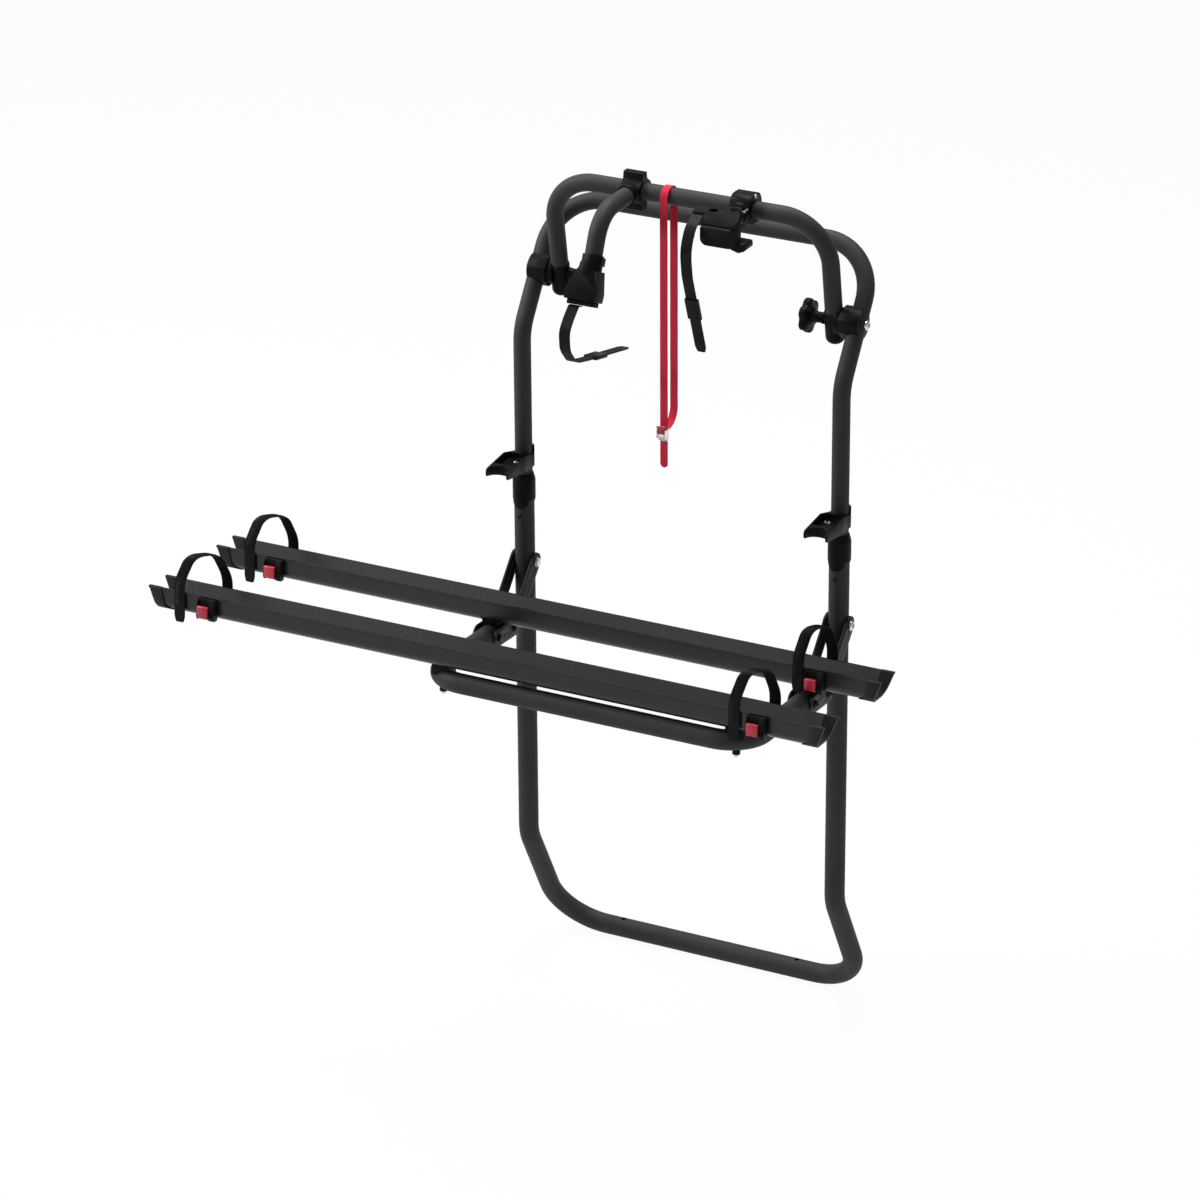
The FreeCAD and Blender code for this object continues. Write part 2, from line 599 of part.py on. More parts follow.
def joints(upper_outside):
    """Outer halves on the slanted legs, inner halves on the hoop, and the bolts through both."""
    bolts = []
    barrel_radius = upper_tube / 2 + joint_wall
    barrel_outline = [(0, -joint_depth, 0), (barrel_radius, -joint_depth, 12),
                      (barrel_radius, joint_collar, 0),
                      (0, joint_collar, 0)]
    for side, sign in SIDES.items():
        outward = X_AXIS * sign
        parting = joint_axis + outward * joint_plane
        # Outer half, an eight-sided block that hugs the inner side of the leg
        face = parting + outward * (joint_gap / 2)
        turn = Rotation(Z_AXIS, outward)
        prism = plate(f"joint_cheek_{side}", cheek_outline(), "Sizes.cheek_depth", Placement(face, turn))
        taper = cone(f"joint_taper_{side}", "Sizes.cheek_radius + 4", "Sizes.cheek_radius - 3",
                     "Sizes.cheek_depth",
                     Placement(face, turn))
        bore = cylinder(f"joint_bore_{side}", "Sizes.joint_bolt / 2", "Sizes.upright_spacing / 2",
                        facing(outward, joint_axis))
        outer = common(f"joint_outer_blank_{side}", prism, taper)
        node(f"joint_outer_{side}", cut(f"joint_outer_body_{side}", outer, [upper_outside, bore]))
        # Inner half, a barrel under the hoop's leg with a disc against the outer half
        foot = joint_axis + outward * (hoop_spacing / 2)
        upright = Placement(foot, Rotation(Z_AXIS, hoop_direction))
        barrel = turned(f"joint_barrel_{side}", barrel_outline, upright)
        disc = cylinder(f"joint_disc_{side}", "Sizes.joint_radius", "Sizes.joint_disc",
                        facing(outward, parting - outward * (joint_gap / 2 + joint_disc)))
        socket = cylinder(f"joint_socket_{side}", "Sizes.upper_tube / 2", "Sizes.joint_collar * 2",
                          facing(hoop_direction, foot + hoop_direction * (joint_bolt / 2 + 1)))
        turning = cylinder(f"joint_turning_{side}", "Sizes.joint_bolt / 2 + Sizes.slide_fit",
                           "Sizes.upright_spacing / 2", facing(outward, joint_axis))
        blank = fuse(f"joint_inner_blank_{side}", [barrel, disc])
        node(f"joint_inner_{side}", cut(f"joint_inner_body_{side}", blank, [socket, turning]))
        # Bolt from the knob, through both halves and the leg, to its head
        knob_end = hoop_spacing / 2 - barrel_radius - knob_stem
        head_start = half_spacing + upper_tube / 2
        shank = cylinder(f"joint_shank_{side}", "Sizes.joint_bolt / 2", f"{head_start + 1 - knob_end}",
                         facing(outward, joint_axis + outward * knob_end))
        head = cylinder(f"joint_head_{side}", "Sizes.joint_bolt * 0.85", "Sizes.bolt_head",
                        facing(outward, joint_axis + outward * head_start))
        bolts.append(fuse(f"joint_bolt_{side}", [shank, head]))
    node("joint_bolts", group("joint_bolt_pair", bolts))


def hoop():
    """Inverted U whose legs stand in the joints' inner halves."""
    corners = []
    for sign in (-1, 1):
        across = V(sign * hoop_spacing / 2, 0, 0)
        run = [(joint_axis + across + hoop_direction * (joint_bolt / 2 + 1), 0), (bar + across, hoop_corner)]
        corners += run if sign < 0 else run[::-1]
    outside, bore = bent_tube("hoop", corners, "upper_tube")
    node("hoop", cut("hoop_tube", outside, [bore]))


def knobs():
    """Star knobs on the joints' bolts."""
    for side, sign in SIDES.items():
        inward = X_AXIS * -sign
        face = hoop_spacing / 2 - upper_tube / 2 - joint_wall - joint_gap
        stem_place = joint_axis + X_AXIS * (sign * face)
        stem = cylinder(f"knob_stem_{side}", "Sizes.knob_hub / 2", "Sizes.knob_stem + Sizes.knob_thickness",
                        facing(inward, stem_place))
        disc_place = stem_place + inward * knob_stem
        disc = cylinder(f"knob_disc_{side}", "Sizes.knob_dia * 0.36", "Sizes.knob_thickness",
                        facing(inward, disc_place))
        lobes = []
        for index in range(knob_lobes):
            angle = 2 * pi * (index + 0.5) / knob_lobes
            offset = V(0, cos(angle), sin(angle)) * (knob_dia / 2 - knob_dia * 0.13)
            lobes.append(cylinder(f"knob_lobe_{side}_{index}", "Sizes.knob_dia * 0.13",
                                  "Sizes.knob_thickness",
                                  facing(inward, disc_place + offset)))
        blank = fuse(f"knob_blank_{side}", [stem, disc] + lobes)
        bore = cylinder(f"knob_bore_{side}", "Sizes.joint_bolt / 2 + Sizes.slide_fit", "Sizes.knob_stem + 1",
                        facing(inward, stem_place))
        node(f"knob_{side}", cut(f"knob_body_{side}", blank, [bore]))


def clamp_outline(block):
    """Outline of a clamp across the bar: a ring with ears, or a plain one with a crown for the short block."""
    ring = upper_tube / 2 + 2 * slide_fit + liner_wall + clamp_wall
    tip = ring + clamp_ear
    side = ring * 0.45
    if block == "short":
        crown = ring + crown_rise
        return [(-ring - 2, side, 5), (-ring * 0.78, crown, 15), (ring * 0.78, crown, 15),
                (ring + 2, side, 5),
                (ring, -side, 9), (ring * 0.6, -ring, 9), (-ring * 0.6, -ring, 9), (-ring, -side, 9)]
    elif block == "ears":
        top = [(-ring, side, 9), (-ring * 0.6, ring, 9), (ring * 0.6, ring, 9), (ring, side, 9)]
    else:
        top = [(-ring, side, 9), (-ear_thickness - 2, ring * 0.9, 4), (-ear_thickness, tip, 2),
               (ear_thickness, tip, 2),
               (ear_thickness + 2, ring * 0.9, 4), (ring, side, 9)]
    foot = [(ear_thickness + 2, -ring * 0.9, 4), (ear_thickness, -tip, 2), (-ear_thickness, -tip, 2),
            (-ear_thickness - 2, -ring * 0.9, 4)]
    return top + [(ring, -side, 9)] + foot + [(-ring, -side, 9)]


def clamp(block, place):
    """Liner, two clamp halves and what holds them together round the hoop bar."""
    centre = V(place, bar.y, bar.z)
    start = centre - X_AXIS * (clamp_length / 2)
    outer = upper_tube / 2 + 2 * slide_fit + liner_wall + clamp_wall
    tip = outer + clamp_ear
    liner = cylinder(f"{block}_liner_outside", "Sizes.upper_tube / 2 + Sizes.slide_fit + Sizes.liner_wall",
                     "Sizes.clamp_length", facing(X_AXIS, start))
    liner_bore = cylinder(f"{block}_liner_bore", "Sizes.upper_tube / 2 + Sizes.slide_fit",
                          "Sizes.clamp_length", facing(X_AXIS, start))
    node(f"{block}_liner", cut(f"{block}_liner_body", liner, [liner_bore]))
    bore = cylinder(f"{block}_clamp_bore", "Sizes.upper_tube / 2 + 2 * Sizes.slide_fit + Sizes.liner_wall",
                    "Sizes.clamp_length", facing(X_AXIS, start))
    across = Rotation(Y_AXIS, Z_AXIS, X_AXIS, "XYZ")
    made = {}
    for half, sign in {"front": -1, "rear": 1}.items():
        blank = plate(f"{block}_{half}_blank", clamp_outline(block), "Sizes.clamp_length",
                      Placement(start, across))
        if block == "short":
            ears = plate(f"short_{half}_ears", clamp_outline("ears"), "Sizes.short_ear",
                         Placement(start, across))
            blank = fuse(f"short_{half}_union", [blank, ears])
        keep_start = start + V(0, sign * clamp_split / 2 + min(0, sign * 2 * outer), -tip)
        keep = box(f"{block}_{half}_keep", "Sizes.clamp_length", f"{2 * outer}", f"{2 * tip}",
                   Placement(keep_start, Rotation()))
        made[half] = common(f"{block}_{half}_half", blank, keep)
    screws = []
    holes = []
    length = 2 * ear_thickness - block_screw_skin
    first = short_ear / 2 if block == "short" else clamp_length / 4
    places = [("left", first, -1)]
    if block == "long":
        places += [("right", clamp_length - first, -1), ("left", first, 1),
                   ("right", clamp_length - first, 1)]
    for hand, along, level in places:
        spot = start + V(along, ear_thickness, level * (outer + clamp_ear * 0.3))
        tag = f"{block}_{hand}_{'top' if level > 0 else 'low'}"
        holes.append(cylinder(f"{tag}_hole", "Sizes.block_screw / 2", f"{length}", facing(-Y_AXIS, spot)))
        shank = cylinder(f"{tag}_shank", "Sizes.block_screw / 2", f"{length}", facing(-Y_AXIS, spot))
        head = cylinder(f"{tag}_head", "Sizes.block_screw_head / 2", "Sizes.block_screw * 0.6",
                        facing(Y_AXIS, spot))
        screws.append(fuse(f"{tag}_screw", [shank, head]))
    if block == "short":
        # Set screw in the boss beside the arm, and the hinge pin along the crown between the halves
        spot = centre + V(arm_tube / 2 + block_screw * 0.18, -outer + clamp_wall * 0.8, clamp_wall * 1.5)
        holes.append(cylinder("short_set_hole", "Sizes.block_screw * 0.4", "Sizes.clamp_wall * 4",
                              facing(-Y_AXIS, spot)))
        screws.append(cylinder("short_set_screw", "Sizes.block_screw * 0.4", "Sizes.clamp_wall * 4",
                               facing(-Y_AXIS, spot)))
        spot = start + V(0, 0, outer)
        holes.append(cylinder("short_hinge_hole", "Sizes.block_screw / 2", "Sizes.clamp_length",
                              facing(X_AXIS, spot)))
        pin = cylinder("short_hinge_pin", "Sizes.block_screw / 2", "Sizes.clamp_length", facing(X_AXIS, spot))
        ends = [cylinder(f"short_hinge_end_{side}", "Sizes.block_screw * 0.8", "Sizes.block_screw * 0.4",
                         facing(X_AXIS * sign, spot + X_AXIS * (clamp_length if sign > 0 else 0)))
                for side, sign in SIDES.items()]
        screws.append(fuse("short_hinge", [pin] + ends))
    node(f"{block}_clamp_screws", group(f"{block}_screws", screws))
    node(f"{block}_clamp_cap", cut(f"{block}_cap_body", made["rear"], [bore] + holes))
    return made["front"], bore, holes, outer


def block_frame(dip):
    """Turn of a head: its local Z is the arm's end direction, its local X the bar's."""
    angle = radians(dip)
    out = V(0, -cos(angle), -sin(angle))
    return out, Rotation(X_AXIS, out.cross(X_AXIS), out, "XYZ")


def block(name, place, dip):
    """One bike block: clamp, arm, head, pad, lever and ladder strap."""
    front, bore, holes, outer = clamp(name, place)
    start = V(place, bar.y - outer + 1, bar.z)
    out, turn = block_frame(dip)
    if dip:
        corner = V(place, bar.y - arm_reach, bar.z)
        end = corner + out * arm_drop_length
        corners = [(start, 0), (corner, arm_bend), (end, 0)]
    else:
        end = V(place, bar.y - stub_reach, bar.z)
        corners = [(start, 0), (end, 0)]
    outside, tube_bore = bent_tube(f"{name}_arm", corners, "arm_tube")
    boss = cylinder(f"{name}_boss", "Sizes.arm_tube / 2 + Sizes.arm_wall", "Sizes.clamp_wall * 3",
                    facing(-Y_AXIS, start + Y_AXIS * (clamp_wall - 1)))
    blank = fuse(f"{name}_clamp_blank", [front, boss])
    node(f"{name}_clamp", cut(f"{name}_clamp_body", blank, [bore, outside] + holes))
    node(f"{name}_arm", cut(f"{name}_arm_tube", outside, [tube_bore]))
    head(name, end, out, turn)


def long_jaw(end, out, turn):
    """Flared jaw of the long block, its pad, and where its lever and that lever's slot lie."""
    half = long_head_width / 2
    middle = -long_head_shift
    wide = long_head_depth * 0.72
    fan = [(-neck_dia / 2, 0, 0), (neck_dia / 2, 0, 0), (middle + half, wide, 14),
           (middle + half - 1, long_head_depth, 2),
           (middle - half + 1, long_head_depth, 2), (middle - half, wide, 14)]
    down = X_AXIS.cross(out)
    jaw = plate("long_jaw", fan, "Sizes.long_head_height",
                Placement(end - down * (long_head_height / 2), Rotation(X_AXIS, out, down, "XYZ")))
    low = -long_head_height / 2
    pad = [(middle - half + 4, low + 3, 5), (middle + half - 4, low + 3, 5), (middle + half - 4, -low - 3, 5),
           (middle, -low - 7, 30), (middle - half + 4, -low - 3, 5)]
    return [jaw], [], pad, low, 0


def short_jaw(end, out, turn):
    """Wedge-shaped jaw of the short block with a heel at its lower right, its pad, and its lever's place."""
    half = short_head_width / 2
    middle = -short_head_shift
    low = -short_head_drop
    left = middle - half
    right = left + short_face_width
    down = X_AXIS.cross(out)
    back = -4
    fan = [(left, back, 2), (neck_dia / 2, back, 0), (middle + half, short_head_depth * 0.3, 8),
           (middle + half, short_head_depth * 0.7, 5), (right, short_head_depth, 4),
           (left, short_head_depth, 3)]
    flat = Rotation(X_AXIS, out, down, "XYZ")
    slab = plate("short_jaw_slab", fan, "Sizes.short_head_height",
                 Placement(end + down * (-low - short_head_height), flat))
    front = [(left, low, 14), (middle + half, low, 4), (middle + half, low + short_head_height, 4),
             (left, low + short_head_height, 4)]
    jaw = common("short_jaw", slab, plate("short_jaw_front", front, f"{short_head_depth - back}",
                                          Placement(end + out * back, turn)))
    heel = [(right - 18, low + 6, 0), (heel_reach, low + 6, 4), (heel_reach, -heel_drop + 5, 4),
            (heel_reach - 12, -heel_drop, 5), (right - 10, -heel_drop + 4, 4)]
    heel_place = Placement(end - out * (short_head_depth * 0.25), turn)
    lump = plate("short_heel", heel, "Sizes.short_head_depth * 0.88", heel_place)
    side = Rotation(out, down * -1, out.cross(down * -1), "XYZ")
    face_top = low + short_face_height
    brow = neck_dia / 2.2
    wedge = [(brow, low + short_head_height, 0), (short_head_depth + 1, face_top, 0),
             (short_head_depth + 1, short_head_height, 0), (brow, short_head_height, 0)]
    wedge_start = end - side.multVec(Z_AXIS) * short_head_width
    slope = plate("short_jaw_slope", wedge, "2 * Sizes.short_head_width", Placement(wedge_start, side))
    well_radius = neck_dia / 4.5
    well_across = V(left + well_radius + 3, 0, 0)
    well_place = end + out * (well_radius + back + 2) + well_across - down * (neck_dia / 4)
    well = cylinder("short_jaw_well", f"{well_radius}", "Sizes.short_head_height",
                    facing(down * -1, well_place))
    ear_start = V(left - strap_width - 2, neck_dia / 2 - 5, back)
    ear = box("short_strap_ear", "Sizes.strap_width + 4", "5", "Sizes.neck_dia / 1.5",
              Placement(end + turn.multVec(ear_start), turn))
    pad = [(left + 2, low + 2, 12), (right - 1, low + 2, 4), (right - 1, face_top - 2, 4),
           (left + 2, face_top - 2, 4)]
    return [jaw, lump, ear], [slope, well], pad, low, -lever_shift


JAWS = {
    "long": (long_jaw, long_head_depth, 0),
    "short": (short_jaw, short_head_depth, 60),
}


def head(name, end, out, turn):
    """Head that turns on the arm's end: a neck with a screw lug, a jaw, a pad and a release lever."""
    make_jaw, depth, lug_turn = JAWS[name]
    neck_place = end - out * neck_length
    neck = cylinder(f"{name}_neck", "Sizes.neck_dia / 2", "Sizes.neck_length + 6",
                    Placement(neck_place, turn))
    lug_frame = turn * Rotation(Z_AXIS, lug_turn)
    lug = box(f"{name}_lug", "Sizes.lug_width + 4", "Sizes.lug_length", "Sizes.lug_length",
              Placement(neck_place + lug_frame.multVec(V(neck_dia / 2 - 4, -lug_length / 2, 3)), lug_frame))
    solids, hollows, pad_outline, low, middle = make_jaw(end, out, turn)
    socket = cylinder(f"{name}_socket", "Sizes.arm_tube / 2 + Sizes.slide_fit", "Sizes.neck_length + 1",
                      Placement(neck_place, turn))
    slot_place = end + turn.multVec(V(middle - lever_width / 2 - lever_gap, low, depth - lever_height - 2))
    slot = box(f"{name}_lever_slot", "Sizes.lever_width + 2 * Sizes.lever_gap", "Sizes.lever_thickness + 1",
               "Sizes.lever_height + 2", Placement(slot_place, turn))
    blank = fuse(f"{name}_head_blank", [neck, lug] + solids)
    node(f"{name}_head", cut(f"{name}_head_body", blank, [socket, slot] + hollows))
    node(f"{name}_pad",
         plate(f"{name}_pad_body", pad_outline, "Sizes.head_pad", Placement(end + out * depth, turn)))
    half = lever_thickness / 2
    outline = [(-half, -half, half - 0.1), (half, -half, half - 0.1), (half, lever_height - 4, 2),
               (-half + 1, lever_height - 4, 2)]
    hinge = end + turn.multVec(V(middle, low + half - 1.5, depth - lever_height + half + lever_gap))
    lever_turn = Rotation(turn.multVec(V(0, -1, 0)), out, turn.multVec(V(0, -1, 0)).cross(out), "XYZ")
    offset = X_AXIS * (lever_width / 2)
    shift = offset if lever_turn.multVec(Z_AXIS).x < 0 else offset * -1
    node(f"{name}_lever",
         plate(f"{name}_lever_body", outline, "Sizes.lever_width", Placement(hinge + shift, lever_turn)))


def block_straps():
    """Ladder straps of the blocks, hanging as in use, and their keepers."""
    out, turn = block_frame(arm_dip)
    long_end = V(long_place, bar.y - arm_reach, bar.z) + out * arm_drop_length
    short_end = V(short_place, bar.y - stub_reach, bar.z)
    long_middle = long_place - long_head_shift - long_head_width / 2 + strap_width / 2 + strap_inset
    short_middle = short_place - short_head_shift - short_head_width / 2 - 2 * strap_seat - strap_width / 2
    under = long_head_depth + head_pad + strap_seat + strap_thickness / 2
    below = neck_dia / 2 - 5 - strap_seat - strap_thickness / 2
    seats = [turn.multVec(V(0, along, under)) for along in (-5, 6)]
    routes = {
        "long": (long_end, long_middle, long_loop_place, 6,
                 [(seats[0].y, seats[0].z, 0), (seats[1].y, seats[1].z, 8), (-48, -69, 20), (-65, -88, 26),
                  (-63, -121, 32), (-38, -150, 34), (6, -161, 40), (156, -193, 0)]),
        "short": (short_end, short_middle, short_loop_place, 4,
                  [(2, below, 0), (-24, below, 14), (-50, -1, 30), (-69, -34, 60), (-62, -82, 80),
                   (-8, -232, 0)]),
    }
    for name, (origin, middle, place, stretch, route) in routes.items():
        points = [(V(middle, origin.y + y, origin.z + z), radius) for y, z, radius in route]
        node(f"{name}_strap",
             ribbon(f"{name}_strap_band", points, strap_thickness, strap_width, X_AXIS, X_AXIS))
        first = points[stretch][0]
        direction = (points[stretch + 1][0] - first).normalize()
        centre = first + direction * place
        loop_turn = Rotation(X_AXIS, direction.cross(X_AXIS), direction, "XYZ")
        wall = 2
        width = strap_width + 2 * wall
        depth = strap_thickness + 2 * wall
        sleeve = box(f"{name}_keeper", f"{width}", f"{depth}", "Sizes.loop_length",
                     Placement(centre + loop_turn.multVec(V(-width / 2, -depth / 2, -loop_length / 2)),
                               loop_turn))
        slot_place = centre + loop_turn.multVec(V(-strap_width / 2, -strap_thickness / 2, -loop_length / 2))
        hollow = box(f"{name}_keeper_slot", "Sizes.strap_width", "Sizes.strap_thickness", "Sizes.loop_length",
                     Placement(slot_place, loop_turn))
        node(f"{name}_strap_buckle", cut(f"{name}_keeper_body", sleeve, [hollow]))


def security_strap():
    """Webbing looped over the hoop bar, its cam buckle and the cam's lever."""
    x = webbing_place
    radius = webbing_spread
    top = bar.z + upper_tube / 2 + webbing_gap + webbing_thickness / 2
    buckle = bar.z - webbing_drop
    front = bar.y - webbing_spread
    rear = bar.y + webbing_spread
    loop = [(V(x, front, buckle - webbing_tail), 0), (V(x, front, top), radius - 0.01),
            (V(x, rear, top), radius - 0.01),
            (V(x, rear, buckle + 45), 40), (V(x, front + webbing_thickness + 0.2, buckle + 6), 0)]
    node("security_strap", ribbon("webbing", loop, webbing_thickness, webbing_width, X_AXIS, X_AXIS))
    frame_width = webbing_width + 5
    frame_height = 26
    outline = [(-frame_width / 2, -frame_height / 2, 3), (frame_width / 2, -frame_height / 2, 3),
               (frame_width / 2, frame_height / 2, 3), (-frame_width / 2, frame_height / 2, 3)]
    turn = Rotation(X_AXIS, Z_AXIS, -Y_AXIS, "XYZ")
    back = front - webbing_thickness / 2
    base = plate("cam_base", outline, "2", Placement(V(x, back, buckle), turn))
    cheeks = []
    for side, sign in SIDES.items():
        cheeks.append(box(f"cam_cheek_{side}", "1.5", "9", "16",
                          Placement(V(x + sign * (webbing_width / 2 + 1) - 0.75, back - 11, buckle - 6),
                                    Rotation())))
    pin_place = V(x - webbing_width / 2 - 1.75, back - 7, buckle + 5)
    pin = cylinder("cam_pin", "1.5", f"{webbing_width + 3.5}", facing(X_AXIS, pin_place))
    node("cam_buckle", fuse("cam_buckle_body", [base, pin] + cheeks))
    cam_width = webbing_width - 1
    profile = [(-3, -3.5, 2), (3, -3.5, 2), (4, 5, 1), (9, 12, 1), (7, 13.5, 1), (-3, 4, 2)]
    lever_turn = Rotation(-Y_AXIS, Z_AXIS, -X_AXIS, "XYZ")
    blank = plate("cam_lever_blank", profile, f"{cam_width}",
                  Placement(V(x + cam_width / 2, pin_place.y, pin_place.z), lever_turn))
    bore = cylinder("cam_lever_bore", "1.5 + Sizes.slide_fit", f"{webbing_width * 2}",
                    facing(X_AXIS, pin_place - X_AXIS * webbing_width / 2))
    node("cam_lever", cut("cam_lever_body", blank, [bore]))


def ribbon_plate(points, half):
    """Outline of a flat link of one half width with round ends, round (x, y) points."""
    spine = [(V(x, y, 0), 0) for x, y in points]
    first = (spine[0][0] - spine[1][0]).normalize()
    last = (spine[-1][0] - spine[-2][0]).normalize()
    spine[0] = (spine[0][0] + first * half, 0)
    spine[-1] = (spine[-1][0] + last * half, 0)
    outline = ribbon_outline(spine, 2 * half, Z_AXIS)
    count = len(spine)
    ends = (0, count - 1, count, 2 * count - 1)
    return [(point.x, point.y, half * 0.98 if index in ends else 12)
            for index, (point, _) in enumerate(outline)]


def platform():
    """Platform tube, bracket plates and the bolts that join and carry them."""
    corners = []
    for sign in (-1, 1):
        run = [(on_platform(arm_start, -arm_drop, sign * half_spacing), 0),
               (on_platform(front_reach, -arm_drop, sign * half_spacing), platform_corner)]
        corners += run if sign < 0 else run[::-1]
    outside, bore = bent_tube("platform", corners, "lower_tube")
    holes = []
    for side, sign in SIDES.items():
        for place, reach in (("rear", plate_bolt), ("front", plate_end)):
            holes.append(cylinder(f"arm_hole_{side}_{place}", "Sizes.arm_bolt / 2", "Sizes.lower_tube * 2",
                                  facing(X_AXIS,
                                         on_platform(reach, -arm_drop, sign * half_spacing - lower_tube))))
        for rail in rail_reach:
            x, reach = rail_bolt_place(rail, sign)
            holes.append(cylinder(f"rail_hole_{rail}_{side}", "Sizes.rail_bolt / 2", "Sizes.lower_tube * 1.5",
                                  facing(-upward, on_platform(reach, -arm_drop + lower_tube * 0.75, x))))
    node("platform_tube", cut("platform_tube_body", outside, [bore] + holes))
    link = [(0, 0), (plate_bolt, -arm_drop), (plate_end, -arm_drop)]
    outline = ribbon_plate(link, plate_half)
    pivots = []
    bolts = []
    inner = lower_tube / 2 + plate_gap
    for side, sign in SIDES.items():
        pair = []
        for face, x in (("outer", inner + plate_thickness), ("inner", -inner)):
            pair.append(plate(f"bracket_{side}_{face}", outline, "Sizes.plate_thickness",
                              Placement(on_platform(0, 0, sign * half_spacing + x), platform_turn),
                              holes=[(0, 0, "Sizes.pivot_bolt / 2 + Sizes.slide_fit"),
                                     (plate_bolt, -arm_drop, "Sizes.arm_bolt / 2"),
                                     (plate_end, -arm_drop, "Sizes.arm_bolt / 2")]))
        node(f"bracket_{side}", group(f"bracket_pair_{side}", pair))
        pivots.append(through_bolt(f"pivot_{side}", "pivot_bolt", pivot + V(sign * half_spacing, 0, 0),
                                   plate_gap))
        for place, reach in (("rear", plate_bolt), ("front", plate_end)):
            bolts.append(through_bolt(f"arm_{side}_{place}", "arm_bolt",
                                      on_platform(reach, -arm_drop, sign * half_spacing), 0))
    node("pivot_bolts", group("pivot_bolt_pair", pivots))
    node("arm_bolts", group("arm_bolt_set", bolts))
    return outside


def through_bolt(name, diameter, centre, play):
    """Bolt along X through a pair of plates, with a head and a nut."""
    reach = lower_tube / 2 + plate_gap + plate_thickness + play
    shank = cylinder(f"{name}_shank", f"Sizes.{diameter} / 2", f"{2 * reach}",
                     facing(X_AXIS, centre - X_AXIS * reach))
    bolt_end = cylinder(f"{name}_head", f"Sizes.{diameter} * 0.85", "Sizes.bolt_head",
                        facing(X_AXIS, centre + X_AXIS * reach))
    nut = cylinder(f"{name}_nut", f"Sizes.{diameter} * 0.85", "Sizes.bolt_head",
                   facing(-X_AXIS, centre - X_AXIS * reach))
    return fuse(f"{name}_bolt", [shank, bolt_end, nut])


def rail_bolt_place(rail, sign):
    """X and reach of a rail bolt: on the arm for the rear rail, in the tube's corner for the front rail."""
    reach = rail_reach[rail]
    straight = front_reach - platform_corner
    if reach <= straight:
        return sign * half_spacing, reach
    across = sqrt(max(platform_corner ** 2 - (reach - straight) ** 2, 0))
    return sign * (half_spacing - platform_corner + across), reach


def trough(grow_out, grow_in):
    """Section of a rail, grown outward or inward, as sketch corners."""
    half = rail_width / 2
    wall = half - rail_lip + grow_out
    lip = half + grow_out
    inside = half - rail_lip - rail_wall - grow_in
    floor = rail_wall + grow_in
    under = rail_height - rail_lip_height
    outer_corner = rail_corner + grow_out
    inner_corner = max(rail_corner - rail_wall - grow_in, 1)
    right = [(wall, -grow_out, outer_corner), (wall, under - rail_lip, 0), (lip, under, 0),
             (lip, rail_height, 0),
             (inside, rail_height, 0), (inside, floor, inner_corner)]
    left = [(-x, y, radius) for x, y, radius in right[::-1]]
    return right + left


def rails(platform_outside):
    """Two channels with caps, saddles, bolts and cap nuts."""
    start = rail_centre + rail_length / 2
    floor = V(0, rail_seat, 0)
    saddles = []
    bolts = []
    nuts = []
    for rail, reach in rail_reach.items():
        blank = plate(f"{rail}_rail_blank", trough(0, 0), "Sizes.rail_length",
                      Placement(on_platform(reach, rail_seat, start), platform_turn))
        holes = []
        for side, sign in SIDES.items():
            x, spot = rail_bolt_place(rail, sign)
            holes.append(floor_slot(rail, side, spot, x))
            block_place = on_platform(spot - saddle_length / 2, rail_seat - lower_tube / 2,
                                      x + saddle_length / 2)
            seat = box(f"{rail}_saddle_blank_{side}", "Sizes.saddle_length", "Sizes.lower_tube / 2",
                       "Sizes.saddle_length", Placement(block_place, platform_turn))
            bore = cylinder(f"{rail}_saddle_bore_{side}", "Sizes.rail_bolt / 2", "Sizes.lower_tube",
                            facing(upward, on_platform(spot, rail_seat - lower_tube, x)))
            saddles.append(cut(f"{rail}_saddle_{side}", seat, [platform_outside, bore]))
            head_place = on_platform(spot, rail_seat + rail_wall, x)
            crown = cylinder(f"{rail}_bolt_head_{side}", "Sizes.rail_bolt_head / 2", "3",
                             facing(upward, head_place))
            stem = cylinder(f"{rail}_bolt_stem_{side}", "Sizes.rail_bolt / 2",
                            "Sizes.saddle_height + Sizes.lower_tube + Sizes.rail_wall + 12",
                            facing(-upward, head_place))
            bolts.append(fuse(f"{rail}_bolt_{side}", [crown, stem]))
            under = on_platform(spot, rail_seat - saddle_height - lower_tube, x)
            cap = cylinder(f"{rail}_nut_{side}", "Sizes.rail_bolt * 0.85", "7", facing(-upward, under))
            hole = cylinder(f"{rail}_nut_hole_{side}", "Sizes.rail_bolt / 2", "7", facing(-upward, under))
            nuts.append(cut(f"{rail}_nut_body_{side}", cap, [hole]))
        body = cut(f"{rail}_rail_body", blank, holes)
        node(f"{rail}_rail", body)
        node(f"{rail}_rail_caps", group(f"{rail}_caps", [rail_cap(rail, reach, blank, side, sign)
                                                         for side, sign in SIDES.items()]))
    node("rail_saddles", group("saddle_set", saddles))
    node("rail_bolts", group("rail_bolt_set", bolts))
    node("rail_bolt_caps", group("rail_nut_set", nuts))


def floor_slot(rail, side, spot, x):
    """Slot in a rail's floor along the rail's travel over one bolt."""
    half = rail_bolt / 2 + rail_slot_play
    ends = (x + rail_travel_left, x - rail_travel_right)
    outline = [(-half, 0, half - 0.01), (half, 0, half - 0.01),
               (half, ends[0] - ends[1] + 2 * half, half - 0.01),
               (-half, ends[0] - ends[1] + 2 * half, half - 0.01)]
    turn = Rotation(forward, -X_AXIS, forward.cross(-X_AXIS), "XYZ")
    start = on_platform(spot, rail_seat + rail_corner, ends[0] + half)
    return plate(f"{rail}_floor_slot_{side}", outline, "Sizes.rail_corner * 2", Placement(start, turn))


